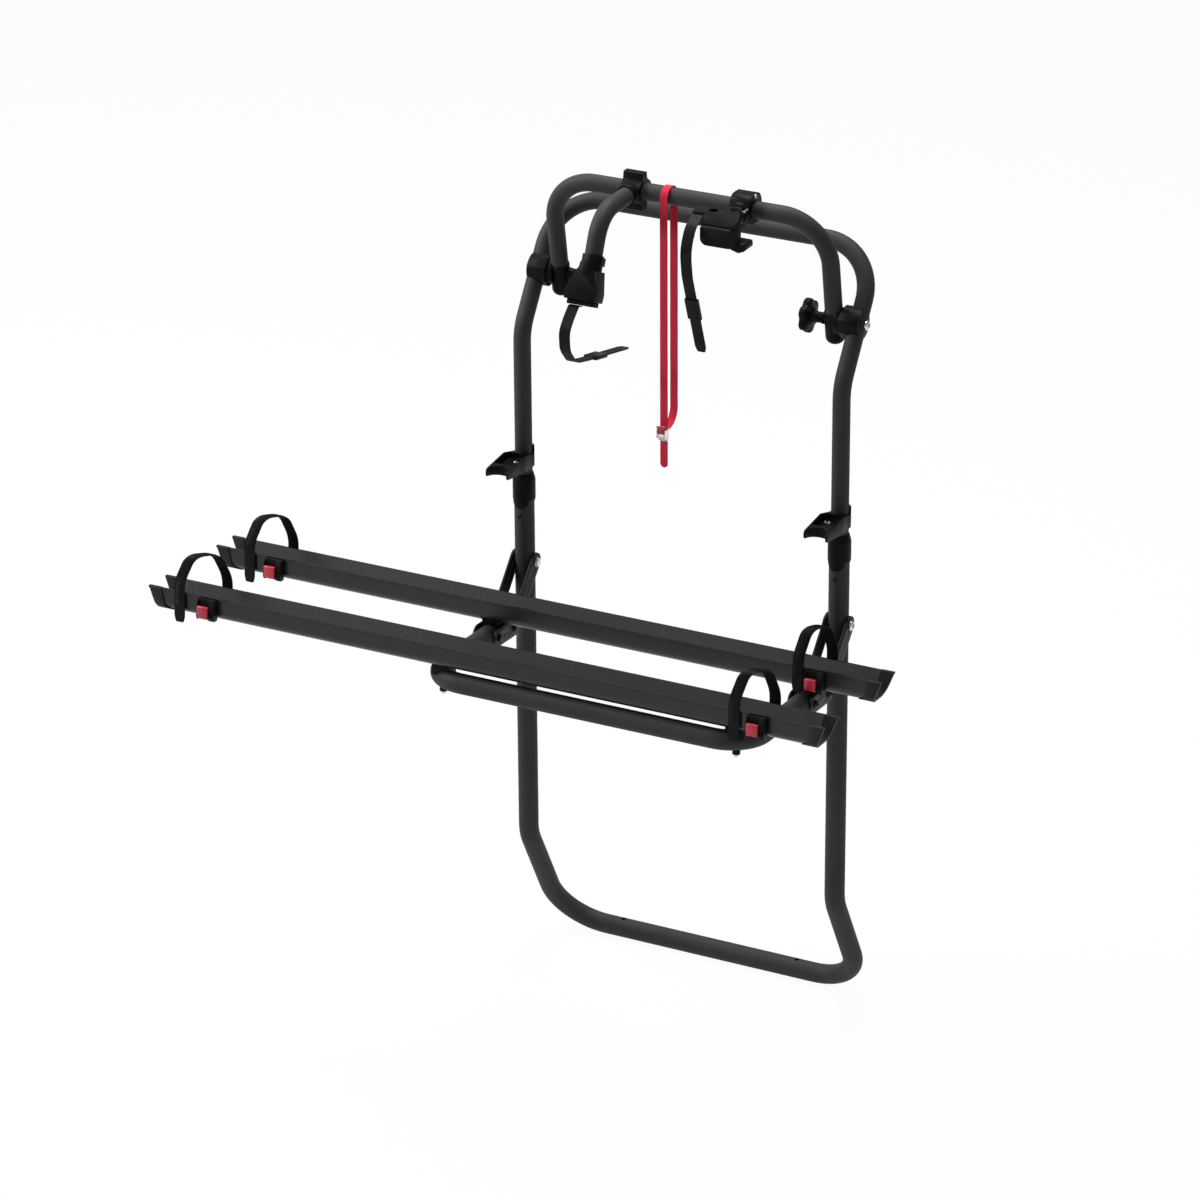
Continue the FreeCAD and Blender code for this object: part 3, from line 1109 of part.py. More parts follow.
def rail_cap(rail, reach, blank, side, sign):
    """End cap: a shell under and a lining inside the rail's end, with a raked open end."""
    end = rail_centre + sign * (rail_length / 2 + cap_over)
    origin = on_platform(reach, rail_seat, end)
    across = rail_width / 2 + cap_wall + 1

    def side_face(points, arc=None):
        """Region in the plane of X and height, carried across the rail."""
        edges = []
        for index, point in enumerate(points):
            following = points[(index + 1) % len(points)]
            if arc and index == arc[0]:
                edges.append(Part.Arc(point, arc[1], following).toShape())
            else:
                edges.append(Part.LineSegment(point, following).toShape())
        face = Part.Face(Part.Wire(edges))
        face.translate(forward * -across)
        return face.extrude(forward * (2 * across))

    def spot(inward, height):
        return origin - X_AXIS * (sign * inward) + upward * height

    low = -cap_wall
    shell_mask = feature(f"{rail}_shell_mask_{side}", side_face(
        [spot(0, rail_height), spot(cap_rake, low), spot(cap_cover, low), spot(cap_rim, rail_height)],
        (2, spot(cap_cover * 0.42, rail_height * 0.27))))
    rim_mask = feature(f"{rail}_rim_mask_{side}", side_face(
        [spot(0, rail_height), spot(cap_rake, low), spot(cap_rim + cap_rake * 0.6, low),
         spot(cap_rim, rail_height)]))
    length = cap_cover + cap_over
    place = Placement(origin + X_AXIS * (max(0, -sign * length)), platform_turn)
    shell = plate(f"{rail}_cap_shell_{side}", trough(cap_wall, 0), f"{length}", place)
    lining = plate(f"{rail}_cap_lining_{side}", trough(cap_wall, cap_wall * 0.75), f"{length}", place)
    union = fuse(f"{rail}_cap_blank_{side}", [common(f"{rail}_cap_outer_{side}", shell, shell_mask),
                                              common(f"{rail}_cap_inner_{side}", lining, rim_mask)])
    return cut(f"{rail}_cap_{side}", union, [blank])


def buckles():
    """Buckle bases with pins on the rails' near walls, red levers and wheel straps."""
    face = rail_width / 2 - rail_lip
    pin_out = buckle_depth
    well_width = lever_width + 2 * lever_gap
    for rail, reach in rail_reach.items():
        bases = []
        straps = []
        for side, sign in SIDES.items():
            x = rail_centre + sign * (rail_length / 2 - buckle_inset)
            wall_place = on_platform(reach + face, rail_seat, x + buckle_width / 2)
            profile = [(0, 1, 1), (buckle_depth, 1, 3),
                       (buckle_depth + lever_pin / 2 + 1, lever_pin_height, 4),
                       (buckle_depth, lever_pin_height * 2, 4), (buckle_depth, rail_height * 0.75, 4),
                       (buckle_depth * 0.6, rail_height - 2, 2), (rail_lip + lever_gap, rail_height - 2, 0),
                       (rail_lip + lever_gap, rail_height - rail_lip_height - rail_lip, 0),
                       (0, rail_height - rail_lip_height - rail_lip, 0)]
            blank = plate(f"{rail}_buckle_blank_{side}", profile, "Sizes.buckle_width",
                          Placement(wall_place, platform_turn))
            well_end = x - buckle_width / 2 + buckle_wall + well_width
            well_place = on_platform(reach + face + pin_out - lever_thickness / 2 - 1, rail_seat - 1,
                                     well_end)
            well = box(f"{rail}_buckle_well_{side}", "Sizes.buckle_depth", "Sizes.rail_height",
                       "Sizes.lever_width + 2 * Sizes.lever_gap", Placement(well_place, platform_turn))
            hinge = on_platform(reach + face + pin_out, rail_seat + lever_pin_height,
                                well_end - well_width / 2)
            pin = cylinder(f"{rail}_lever_pin_{side}", "Sizes.lever_pin / 2", "Sizes.buckle_width",
                           facing(X_AXIS, V(x - buckle_width / 2, hinge.y, hinge.z)))
            bases.append(fuse(f"{rail}_buckle_{side}",
                              [cut(f"{rail}_buckle_body_{side}", blank, [well]), pin]))
            half = lever_thickness / 2
            outline = [(-half, -half, half - 0.1), (half, -half, half - 0.1), (half + 1, lever_height, 2),
                       (-half, lever_height, 2)]
            lever = plate(f"{rail}_lever_blank_{side}", outline, "Sizes.lever_width",
                          Placement(hinge + X_AXIS * (lever_width / 2), platform_turn))
            bore = cylinder(f"{rail}_lever_bore_{side}", "Sizes.lever_pin / 2 + Sizes.slide_fit",
                            "Sizes.lever_width", facing(X_AXIS, hinge - X_AXIS * (lever_width / 2)))
            node(f"wheel_lever_{rail}_{side}", cut(f"{rail}_lever_{side}", lever, [bore]))
            straps.append(wheel_strap(rail, side, reach, x))
            bases.append(strap_anchor(rail, side, reach, x))
        node(f"{rail}_buckles", group(f"{rail}_buckle_pair", bases))
        node(f"{rail}_wheel_straps", group(f"{rail}_strap_pair", straps))


def strap_anchor(rail, side, reach, x):
    """Sleeve on the outside of a rail's far wall that holds the end of a wheel strap."""
    inside = rail_width / 2 - rail_lip
    outside = rail_width / 2 + strap_gap + strap_thickness + strap_seat + anchor_wall
    skew = 2 * strap_thickness
    width = strap_width + skew + 2 * anchor_wall
    near = x + width / 2 + 3
    sleeve = box(f"{rail}_anchor_{side}", f"{outside - inside}", "Sizes.anchor_height", f"{width}",
                 Placement(on_platform(reach - outside, rail_seat + anchor_place, near), platform_turn))
    hollow = box(f"{rail}_anchor_slot_{side}", "Sizes.strap_thickness + 2 * Sizes.strap_seat",
                 "Sizes.anchor_height", "Sizes.strap_width + 2 * Sizes.strap_thickness",
                 Placement(on_platform(reach - outside + anchor_wall, rail_seat + anchor_place,
                                       near - anchor_wall),
                           platform_turn))
    corner = plate(f"{rail}_anchor_corner_{side}", trough(0, 0), "Sizes.buckle_width * 2",
                   Placement(on_platform(reach, rail_seat, x + buckle_width), platform_turn))
    return cut(f"{rail}_anchor_body_{side}", sleeve, [hollow, corner])


def wheel_strap(rail, side, reach, x):
    """Ladder strap from its anchor outside the far wall, over the wheel and down outside the near wall."""
    far = -(rail_width / 2 + strap_gap + strap_thickness / 2)
    near = rail_width / 2 + 3
    middle = (far + near) / 2
    half = (near - far) / 2
    shift = arch_skew[f"{rail}_{side}"]
    top = rail_height + arch_height
    shoulder = rail_height + arch_height * 0.3
    along = forward * (near - far) - X_AXIS * shift
    bend = along.Length * 0.3
    over_arm = rail == "rear" and side == "right"
    tail = min(strap_tail, saddle_height - strap_clear) if over_arm else strap_tail
    route = [(-1, anchor_place - 2, 0), (-1, shoulder, 70), (-0.52, top, bend), (0.52, top, bend),
             (1, shoulder, 70),
             (1, -tail, 0)]
    points = [(on_platform(reach + middle + part * half, rail_seat + height,
                           x + 3 - shift * (part + 1) / 2), radius)
              for part, height, radius in route]
    return ribbon(f"{rail}_strap_{side}", points, strap_thickness, strap_width,
                  along.cross(upward).normalize(), X_AXIS)


lower_frame()
collars()
upper_outside = upper_frame()
clips()
joints(upper_outside)
hoop()
knobs()
block("long", long_place, arm_dip)
block("short", short_place, 0)
block_straps()
security_strap()
platform_outside = platform()
rails(platform_outside)
buckles()
doc.recompute()

failed = [thing.Name for thing in doc.Objects if set(thing.State) & {"Invalid", "Error"}]
for name, thing in nodes.items():
    shape = thing.Shape
    if shape.isNull() or not shape.isValid() or not shape.Solids:
        failed.append(name)
if failed:
    raise RuntimeError(f"failed objects: {failed}")

os.makedirs("parts", exist_ok=True)
for name, thing in nodes.items():
    thing.Shape.exportStep(f"parts/{name}.step")
print(len(nodes), "nodes written")
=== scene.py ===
"""Motorhome bike rack: materials, straps, knobs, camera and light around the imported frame."""

import json
import math

import bmesh
import bpy
from mathutils import Matrix, Vector


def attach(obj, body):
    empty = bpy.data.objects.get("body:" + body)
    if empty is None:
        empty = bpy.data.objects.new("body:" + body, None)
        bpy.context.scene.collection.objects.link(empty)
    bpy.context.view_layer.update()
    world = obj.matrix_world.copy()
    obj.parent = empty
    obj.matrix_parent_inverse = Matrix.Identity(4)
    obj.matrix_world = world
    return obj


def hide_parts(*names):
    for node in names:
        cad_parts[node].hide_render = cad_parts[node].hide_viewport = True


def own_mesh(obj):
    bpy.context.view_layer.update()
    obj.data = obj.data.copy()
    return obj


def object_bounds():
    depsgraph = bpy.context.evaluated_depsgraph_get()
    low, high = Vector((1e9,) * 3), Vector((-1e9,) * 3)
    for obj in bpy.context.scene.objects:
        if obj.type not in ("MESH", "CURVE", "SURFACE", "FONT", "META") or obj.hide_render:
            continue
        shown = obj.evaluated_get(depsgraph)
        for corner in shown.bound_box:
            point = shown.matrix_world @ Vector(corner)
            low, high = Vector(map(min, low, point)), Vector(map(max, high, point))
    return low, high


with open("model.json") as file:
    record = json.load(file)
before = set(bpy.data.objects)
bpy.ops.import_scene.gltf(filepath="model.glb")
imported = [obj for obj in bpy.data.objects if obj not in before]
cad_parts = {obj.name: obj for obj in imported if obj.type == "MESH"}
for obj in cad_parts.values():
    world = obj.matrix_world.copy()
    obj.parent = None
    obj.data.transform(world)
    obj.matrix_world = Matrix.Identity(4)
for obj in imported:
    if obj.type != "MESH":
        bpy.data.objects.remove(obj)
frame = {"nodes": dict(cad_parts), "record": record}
cad_low, cad_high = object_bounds()
nodes = frame["nodes"]
MM = 0.001
X_AXIS = Vector((1, 0, 0))

# The platform's tilted plane, with its pivot and the rails' seats in millimetres
TILT = math.radians(3.7)
FORWARD = Vector((0, -math.cos(TILT), math.sin(TILT)))
UPWARD = Vector((0, math.sin(TILT), math.cos(TILT)))
PIVOT_PLACE = (-121, 745.5)
PIVOT = Vector((0, *PIVOT_PLACE)) * MM
RAIL_SEAT = -70
RAIL_REACH = {"rear": 112, "front": 335.5}


def on_platform(reach, height, x):
    """Point in metres from millimetres in front of the pivot, above it and along X."""
    return PIVOT + (FORWARD * reach + UPWARD * height + X_AXIS * x) * MM


# Camera, fitted to the photo
target = Vector((-0.15209, -0.121, 0.6981))
distance = 8.7052
azimuth = math.radians(27.20096)
elevation = math.radians(24.4668)
roll = math.radians(-0.41184)
view_line = Vector((-math.sin(azimuth) * math.cos(elevation),
                    math.cos(azimuth) * math.cos(elevation),
                    -math.sin(elevation)))
right_flat = Vector((math.cos(azimuth), math.sin(azimuth), 0))
up_flat = right_flat.cross(view_line)
right = right_flat * math.cos(roll) + up_flat * math.sin(roll)
up = up_flat * math.cos(roll) - right_flat * math.sin(roll)
camera_data = bpy.data.cameras.new("camera")
camera_data.lens = 152.26
camera_data.sensor_width = 36
camera_data.clip_end = 60
camera = bpy.data.objects.new("camera", camera_data)
bpy.context.scene.collection.objects.link(camera)
place = Matrix((right, up, -view_line)).transposed().to_4x4()
place.translation = target - view_line * distance
camera.matrix_world = place
bpy.context.scene.camera = camera
bpy.context.scene.view_settings.view_transform = "Standard"


# Materials
class Shader:
    """A material with its node tree and short calls for the nodes used here."""

    def __init__(self, name):
        self.material = bpy.data.materials.new(name)
        self.material.use_nodes = True
        self.tree = self.material.node_tree
        self.tree.nodes.clear()
        self.output = self.tree.nodes.new("ShaderNodeOutputMaterial")
        self.body = self.tree.nodes.new("ShaderNodeBsdfPrincipled")
        self.link(self.body.outputs[0], self.output.inputs["Surface"])
        self.place = self.tree.nodes.new("ShaderNodeTexCoord").outputs["Object"]
        self.normal = None

    def link(self, source, socket):
        self.tree.links.new(source, socket)

    def node(self, kind, **settings):
        made = self.tree.nodes.new(kind)
        for key, value in settings.items():
            setattr(made, key, value)
        return made

    def noise(self, scale, detail=3, stretch=(1, 1, 1)):
        """Noise over the object's own place, drawn out along an axis where asked."""
        mapping = self.node("ShaderNodeMapping")
        mapping.inputs["Scale"].default_value = stretch
        self.link(self.place, mapping.inputs["Vector"])
        made = self.node("ShaderNodeTexNoise")
        made.inputs["Scale"].default_value = scale
        made.inputs["Detail"].default_value = detail
        made.inputs["Roughness"].default_value = 0.5
        self.link(mapping.outputs[0], made.inputs["Vector"])
        return made.outputs["Fac"]

    def span(self, source, low, high, out_low=0, out_high=1):
        """Value between low and high carried over to another range."""
        made = self.node("ShaderNodeMapRange")
        for key, value in (("From Min", low), ("From Max", high), ("To Min", out_low), ("To Max", out_high)):
            made.inputs[key].default_value = value
        self.link(source, made.inputs["Value"])
        return made.outputs[0]

    def blend(self, factor, first, second):
        """Mix of two colours, each a constant or another node's output."""
        made = self.node("ShaderNodeMix", data_type="RGBA")
        self.link(factor, made.inputs[0])
        for socket, value in ((made.inputs[6], first), (made.inputs[7], second)):
            if isinstance(value, (tuple, list)):
                socket.default_value = (*value, 1)
            else:
                self.link(value, socket)
        return made.outputs[2]

    def bump(self, height, distance, strength):
        """Relief on top of the relief made before."""
        made = self.node("ShaderNodeBump")
        made.inputs["Strength"].default_value = strength
        made.inputs["Distance"].default_value = distance
        self.link(height, made.inputs["Height"])
        if self.normal:
            self.link(self.normal, made.inputs["Normal"])
        self.normal = made.outputs[0]
        self.link(self.normal, self.body.inputs["Normal"])

    def combine(self, first, second, operation="MULTIPLY"):
        """A value and another value or a number, through one maths node."""
        made = self.node("ShaderNodeMath", operation=operation)
        self.link(first, made.inputs[0])
        if isinstance(second, (int, float)):
            made.inputs[1].default_value = second
        else:
            self.link(second, made.inputs[1])
        return made.outputs[0]

    def dot(self, source, direction, start=0.0):
        """Distance along a direction from a start, as a value."""
        product = self.node("ShaderNodeVectorMath", operation="DOT_PRODUCT")
        self.link(source, product.inputs[0])
        product.inputs[1].default_value = direction
        return self.combine(product.outputs["Value"], start, "SUBTRACT")

    def worn_edges(self, colour, worn, amount):
        """Lighter colour where edges stand out, broken up by noise."""
        edge = self.node("ShaderNodeNewGeometry").outputs["Pointiness"]
        broken = self.combine(self.span(edge, low=0.53, high=0.6, out_high=amount),
                              self.span(self.noise(scale=160, detail=4), low=0.42, high=0.6))
        return self.blend(broken, colour, worn)

    def set(self, **values):
        """Inputs of the surface by name: a number, a colour or another node's output."""
        for key, value in values.items():
            socket = self.body.inputs[key.replace("_", " ")]
            if isinstance(value, (int, float)):
                socket.default_value = value
            elif isinstance(value, tuple):
                socket.default_value = (*value, 1)
            else:
                self.link(value, socket)


def shade(colour, factor, lift=0.0):
    """Colour made lighter or darker."""
    return tuple(min(1, c * factor + lift) for c in colour)


def powder_coat(name, colour, roughness):
    """Fine-textured paint on metal with slight mottling."""
    s = Shader(name)
    mottle = s.span(s.noise(scale=9, detail=4), low=0.35, high=0.65)
    base = s.blend(mottle, shade(colour, 0.97), shade(colour, 1.03))
    speck = s.span(s.noise(scale=1500, detail=2), low=0.6, high=0.75, out_high=0.15)
    base = s.blend(speck, base, shade(colour, 1.5))
    matt = s.span(s.noise(scale=30), low=0.3, high=0.7, out_low=roughness - 0.05, out_high=roughness + 0.06)
    s.set(Base_Color=base, Roughness=matt, Specular_IOR_Level=0.12)
    s.bump(s.noise(scale=900), distance=0.00012, strength=0.4)
    return s.material


def extruded(name, colour, inside, roughness, middle):
    """Coated extruded aluminium with faint drawing lines along X, and painted light: a paler colour on the
    channel's inner walls and on upward faces below the lips.
    """
    s = Shader(name)
    facing = s.node("ShaderNodeTexCoord").outputs["Normal"]
    across = s.dot(s.place, FORWARD, FORWARD.dot(middle))
    height = s.dot(s.place, UPWARD, UPWARD.dot(middle))
    # Painted light: the channel's inner walls, and faces turned up below the lips, take the paler colour
    walls = s.span(s.combine(across, s.dot(facing, FORWARD)), low=-0.004, high=-0.012)
    facing_up = s.span(s.dot(facing, UPWARD), low=0.2, high=0.6)
    below_lips = s.span(height, low=0.032, high=0.036, out_low=1, out_high=0)
    inner = s.combine(walls, s.combine(facing_up, below_lips), "MAXIMUM")
    lines = s.noise(scale=700, detail=2, stretch=(0.012, 1, 1))
    matt = s.span(lines, low=0.3, high=0.7, out_low=roughness - 0.02, out_high=roughness + 0.02)
    s.set(Base_Color=s.blend(inner, colour, inside), Roughness=matt, Specular_IOR_Level=0.4)
    return s.material


def moulded(name, colour, roughness, grain=0.0001, grain_scale=1100, sheen=0.0, specular=0.08, worn=0.3):
    """Moulded plastic or rubber with a fine spark-eroded grain and slightly rubbed edges."""
    s = Shader(name)
    mottle = s.span(s.noise(scale=25), low=0.35, high=0.65)
    base = s.blend(mottle, shade(colour, 0.85), shade(colour, 1.15))
    base = s.worn_edges(base, shade(colour, 1.8, lift=0.012), amount=worn)
    matt = s.span(s.noise(scale=60), low=0.3, high=0.7, out_low=roughness - 0.06, out_high=roughness + 0.06)
    s.set(Base_Color=base, Roughness=matt, Sheen_Weight=sheen, Specular_IOR_Level=specular)
    cells = s.node("ShaderNodeTexVoronoi")
    cells.inputs["Scale"].default_value = grain_scale
    s.link(s.place, cells.inputs["Vector"])
    s.bump(cells.outputs["Distance"], distance=grain, strength=0.5)
    s.bump(s.noise(scale=grain_scale * 0.6), distance=grain, strength=0.4)
    return s.material


def machined(name, colour, roughness):
    """Zinc-plated steel with a soft brushed look."""
    s = Shader(name)
    lines = s.noise(scale=900, stretch=(1, 0.2, 0.2))
    base = s.blend(s.span(s.noise(scale=120), low=0.35, high=0.65), shade(colour, 0.85), colour)
    matt = s.span(lines, low=0.3, high=0.7, out_low=roughness - 0.08, out_high=roughness + 0.1)
    s.set(Base_Color=base, Metallic=1.0, Roughness=matt)
    s.bump(lines, distance=0.00004, strength=0.6)
    return s.material


def woven(name, colour, pitch=0.0011):
    """Flat webbing: herringbone of warp cords and crossing weft, read from the strap's own route."""
    s = Shader(name)
    route = s.node("ShaderNodeAttribute", attribute_name="route").outputs["Vector"]
    split = s.node("ShaderNodeSeparateXYZ")
    s.link(route, split.inputs[0])

    def wave(source, period, phase=0.0):
        turned = s.combine(s.combine(source, 2 * math.pi / period), phase, "ADD")
        made = s.node("ShaderNodeMath", operation="SINE")
        s.link(turned, made.inputs[0])
        return made.outputs[0]

    across = wave(split.outputs[1], pitch)
    along = wave(split.outputs[0], pitch * 1.5, s.combine(across, 1.4))
    height = s.span(s.combine(across, along, "ADD"), low=-2, high=2)
    base = s.blend(height, shade(colour, 0.72), shade(colour, 1.15))
    soiled = s.span(s.noise(scale=14), low=0.35, high=0.7, out_high=0.2)
    base = s.blend(soiled, base, shade(colour, 0.85))
    s.set(Base_Color=base, Roughness=0.82, Sheen_Weight=0.1, Sheen_Roughness=0.5, Specular_IOR_Level=0.15)
    s.bump(height, distance=0.00022, strength=0.8)
    return s.material


# Colours
TUBE_GREY = (0.040, 0.040, 0.0415)
BRACKET_BLACK = (0.012, 0.012, 0.013)
RAIL_GREY = (0.008, 0.008, 0.0085)
# Painted light: paler grey standing in for the light that falls inside the rails' channels
CHANNEL_PAINTED_LIGHT = (0.105, 0.105, 0.107)
CAP_GREY = (0.026, 0.026, 0.027)
BLACK = (0.005, 0.005, 0.0053)
STRAP_BLACK = (0.006, 0.006, 0.0063)
RUBBER_BLACK = (0.008, 0.008, 0.0083)
BUCKLE_SILVER = (0.8, 0.8, 0.8)
BOLT_SILVER = (0.72, 0.72, 0.72)
DARK_STEEL = (0.03, 0.03, 0.031)
RED = (0.42, 0.012, 0.03)
WEBBING_RED = (0.6, 0.02, 0.05)

# One finish for each slot of the record. The rails' channels need their own places, so the front one differs
# The rails' finish paints light inside each channel with a paler grey
rail_metal = {rail: extruded(f"rail_metal_{rail}", RAIL_GREY, CHANNEL_PAINTED_LIGHT, roughness=0.3,
                             middle=on_platform(reach, RAIL_SEAT, 0))
              for rail, reach in RAIL_REACH.items()}
finishes = {
    "frame_paint": powder_coat("frame_paint", TUBE_GREY, 0.58),
    "rail_metal": rail_metal["rear"],
    "bracket_paint": powder_coat("bracket_paint", BRACKET_BLACK, 0.45),
    "black_plastic": moulded("black_plastic", BLACK, 0.48),
    "cap_plastic": moulded("cap_plastic", CAP_GREY, 0.5, worn=0.1),
    "pad_rubber": moulded("pad_rubber", RUBBER_BLACK, 0.72, grain=0.00018, grain_scale=650, sheen=0.04),
    "strap_plastic": moulded("strap_plastic", STRAP_BLACK, 0.45, grain=0.00006, specular=0.1),
    "webbing": woven("webbing", WEBBING_RED),
    "buckle_metal": machined("buckle_metal", BUCKLE_SILVER, 0.24),
    "red_plastic": moulded("red_plastic", RED, 0.33, grain=0.00004, specular=0.5),
    "bolt_steel": machined("bolt_steel", BOLT_SILVER, 0.3),
    "dark_steel": machined("dark_steel", DARK_STEEL, 0.4),
}
slot_of = {part["node"]: part["material_slot"] for part in frame["record"]["subparts"]}
finish_of = {name: finishes[slot] for name, slot in slot_of.items()}
finish_of["front_rail"] = rail_metal["front"]
body_of = {name: body for body, names in frame["record"]["behaviour"]["bodies"].items() for name in names}


def dress(thing, finish):
    """One material for the whole object."""
    thing.data.materials.clear()
    thing.data.materials.append(finish)


for name, thing in nodes.items():
    dress(thing, finish_of[name])
    thing.data.shade_smooth()
    thing.data.set_sharp_from_angle(angle=math.radians(32))


# Mesh helpers
def new_object(name, mesh, slot, body):
    """Object with the slot's material that moves with the body."""
    thing = bpy.data.objects.new(name, mesh)
    bpy.context.scene.collection.objects.link(thing)
    dress(thing, finishes[slot])
    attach(thing, body)
    return thing


def closed_mesh(name, made, rings, sharp, weld=0.0):
    """Mesh through rings of vertices with capped ends. Edges above the angle sharp stay sharp."""
    for first, second in zip(rings, rings[1:]):
        for k in range(len(first)):
            following = (k + 1) % len(first)
            made.faces.new((first[k], first[following], second[following], second[k]))
    made.faces.new(rings[0][::-1])
    made.faces.new(rings[-1])
    if weld:
        bmesh.ops.remove_doubles(made, verts=made.verts, dist=weld)
    bmesh.ops.recalc_face_normals(made, faces=made.faces)
    mesh = bpy.data.meshes.new(name)
    made.to_mesh(mesh)
    made.free()
    mesh.shade_smooth()
    mesh.set_sharp_from_angle(angle=math.radians(sharp))
    return mesh


def softened(name, width):
    """Copy of a CAD node with its sharp edges rounded, in the node's place."""
    source = nodes[name]
    made = bmesh.new()
    made.from_mesh(source.data)
    bmesh.ops.remove_doubles(made, verts=made.verts, dist=2e-6)
    bmesh.ops.dissolve_limit(made, angle_limit=math.radians(0.4), verts=made.verts, edges=made.edges)
    mesh = bpy.data.meshes.new(name + "_soft")
    made.to_mesh(mesh)
    made.free()
    thing = new_object(name + "_soft", mesh, slot_of[name], body_of[name])
    mesh.shade_smooth()
    bevel = thing.modifiers.new("edges", "BEVEL")
    bevel.width = width
    bevel.segments = 2
    bevel.limit_method = "ANGLE"
    bevel.angle_limit = math.radians(38)
    bevel.harden_normals = True
    bevel.use_clamp_overlap = True
    bevel.miter_outer = "MITER_ARC"
    graph = bpy.context.evaluated_depsgraph_get()
    bevelled = bpy.data.meshes.new_from_object(thing.evaluated_get(graph))
    thing.modifiers.clear()
    thing.data = bevelled
    dress(thing, finish_of[name])
    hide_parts(name)


# Width of the rounded edges in millimetres
SOFT_EDGES = {
    "collar_left": 0.9, "collar_right": 0.9, "clip_left": 1.2, "clip_right": 1.2,
    "joint_outer_left": 1.0, "joint_outer_right": 1.0, "joint_inner_left": 1.0, "joint_inner_right": 1.0,
    "long_clamp": 0.9, "long_clamp_cap": 0.9, "short_clamp": 0.9, "short_clamp_cap": 0.9,
    "long_head": 1.6, "short_head": 1.6, "long_pad": 1.2, "short_pad": 1.2,
    "long_lever": 0.8, "short_lever": 0.8, "cam_lever": 0.4, "cam_buckle": 0.3,
    "long_strap_buckle": 0.9, "short_strap_buckle": 0.9, "rear_buckles": 0.8, "front_buckles": 0.8,
    "wheel_lever_rear_left": 0.8, "wheel_lever_rear_right": 0.8,
    "wheel_lever_front_left": 0.8, "wheel_lever_front_right": 0.8,
    "bracket_left": 0.5, "bracket_right": 0.5, "rail_saddles": 0.8,
    "rear_rail_caps": 0.6, "front_rail_caps": 0.6,
}
for name, width in SOFT_EDGES.items():
    softened(name, width * MM)


# Straps
def rounded_path(corners, step):
    """Evenly spaced points along straight runs with arcs of the given radii at the corners."""
    dense = [corners[0][0]]
    for index in range(1, len(corners) - 1):
        point, radius = corners[index]
        into = (point - corners[index - 1][0]).normalized()
        out = (corners[index + 1][0] - point).normalized()
        turn = into.angle(out)
        if radius <= 0 or turn < 1e-4:
            dense.append(point)
            continue
        back = radius * math.tan(turn / 2)
        centre = point - into * back + (out - into * out.dot(into)).normalized() * radius
        first = point - into * back - centre
        axis = into.cross(out).normalized()
        count = max(2, int(math.degrees(turn) / 2))
        dense += [centre + Matrix.Rotation(turn * k / count, 3, axis) @ first for k in range(count + 1)]
    dense.append(corners[-1][0])
    lengths = [0.0]
    for first, second in zip(dense, dense[1:]):
        lengths.append(lengths[-1] + (second - first).length)
    count = max(2, round(lengths[-1] / step))
    points = []
    cursor = 0
    for k in range(count + 1):
        want = lengths[-1] * k / count
        while cursor < len(lengths) - 2 and lengths[cursor + 1] < want:
            cursor += 1
        run = lengths[cursor + 1] - lengths[cursor]
        share = (want - lengths[cursor]) / run if run else 0
        points.append(dense[cursor].lerp(dense[cursor + 1], min(1, max(0, share))))
    return points, lengths[-1]


def band(name, corners, plane, across, section, step, slot, body):
    """Strap swept along corners in a plane, with a section that changes along the way."""
    points, length = rounded_path(corners, step)
    made = bmesh.new()
    route = made.verts.layers.float_vector.new("route")
    rings = []
    for k, point in enumerate(points):
        ahead = points[min(k + 1, len(points) - 1)] - points[max(k - 1, 0)]
        normal = plane.cross(ahead).normalized()
        travelled = length * k / (len(points) - 1)
        ring = []
        for a, n in section(travelled, length):
            vertex = made.verts.new(point + across * a + normal * n)
            vertex[route] = (travelled, a, 0)
            ring.append(vertex)
        rings.append(ring)
    return new_object(name, closed_mesh(name, made, rings, sharp=40), slot, body)


# Ladder straps: half width, thickness without teeth, teeth, the chamfer along the edges and the free end.
# A tooth's foot and flank are shares of the pitch, its foot and top across are shares of the half width
STRAP_HALF = 10 * MM
STRAP_BASE = 2.0 * MM
TOOTH = 0.8 * MM
TOOTH_PITCH = 4.0 * MM
TOOTH_REACH = 0.36
TOOTH_FLANK = 0.12
TOOTH_FOOT_ACROSS = 0.66
TOOTH_TOP_ACROSS = 0.6
EDGE = 0.5 * MM
STRAP_TIP = 12 * MM
TIP_SHARE = 0.6
PLAIN_START = 18 * MM


def ladder_section(plain_end):
    """Section of a ladder strap: a band with cross teeth on its outer side and a narrowed free end."""
    def section(travelled, length):
        left = length - travelled
        phase = (travelled / TOOTH_PITCH) % 1
        toothed = PLAIN_START < travelled < length - plain_end
        tooth = TOOTH * min(1, max(0, (TOOTH_REACH - abs(phase - 0.5)) / TOOTH_FLANK)) if toothed else 0
        narrowed = TIP_SHARE + (1 - TIP_SHARE) * math.sqrt(left / STRAP_TIP)
        half = STRAP_HALF * (1 if left > STRAP_TIP else narrowed)
        low = -STRAP_BASE / 2
        high = STRAP_BASE / 2
        foot = half * TOOTH_FOOT_ACROSS
        top = half * TOOTH_TOP_ACROSS
        return [(-half + EDGE, low), (half - EDGE, low), (half, low + EDGE), (half, high - EDGE),
                (half - EDGE, high), (foot, high), (top, high + tooth), (-top, high + tooth), (-foot, high),
                (-half + EDGE, high), (-half, high - EDGE), (-half, low + EDGE)]
    return section


# Wheel straps: their buckles along X, the far end beside its buckle, and how far each strap runs askew
BUCKLE_X = {"left": -713, "right": 321}
FAR_END = 3
ARCH_SKEW = {"rear_left": 52, "rear_right": 34, "front_left": 58, "front_right": 44}


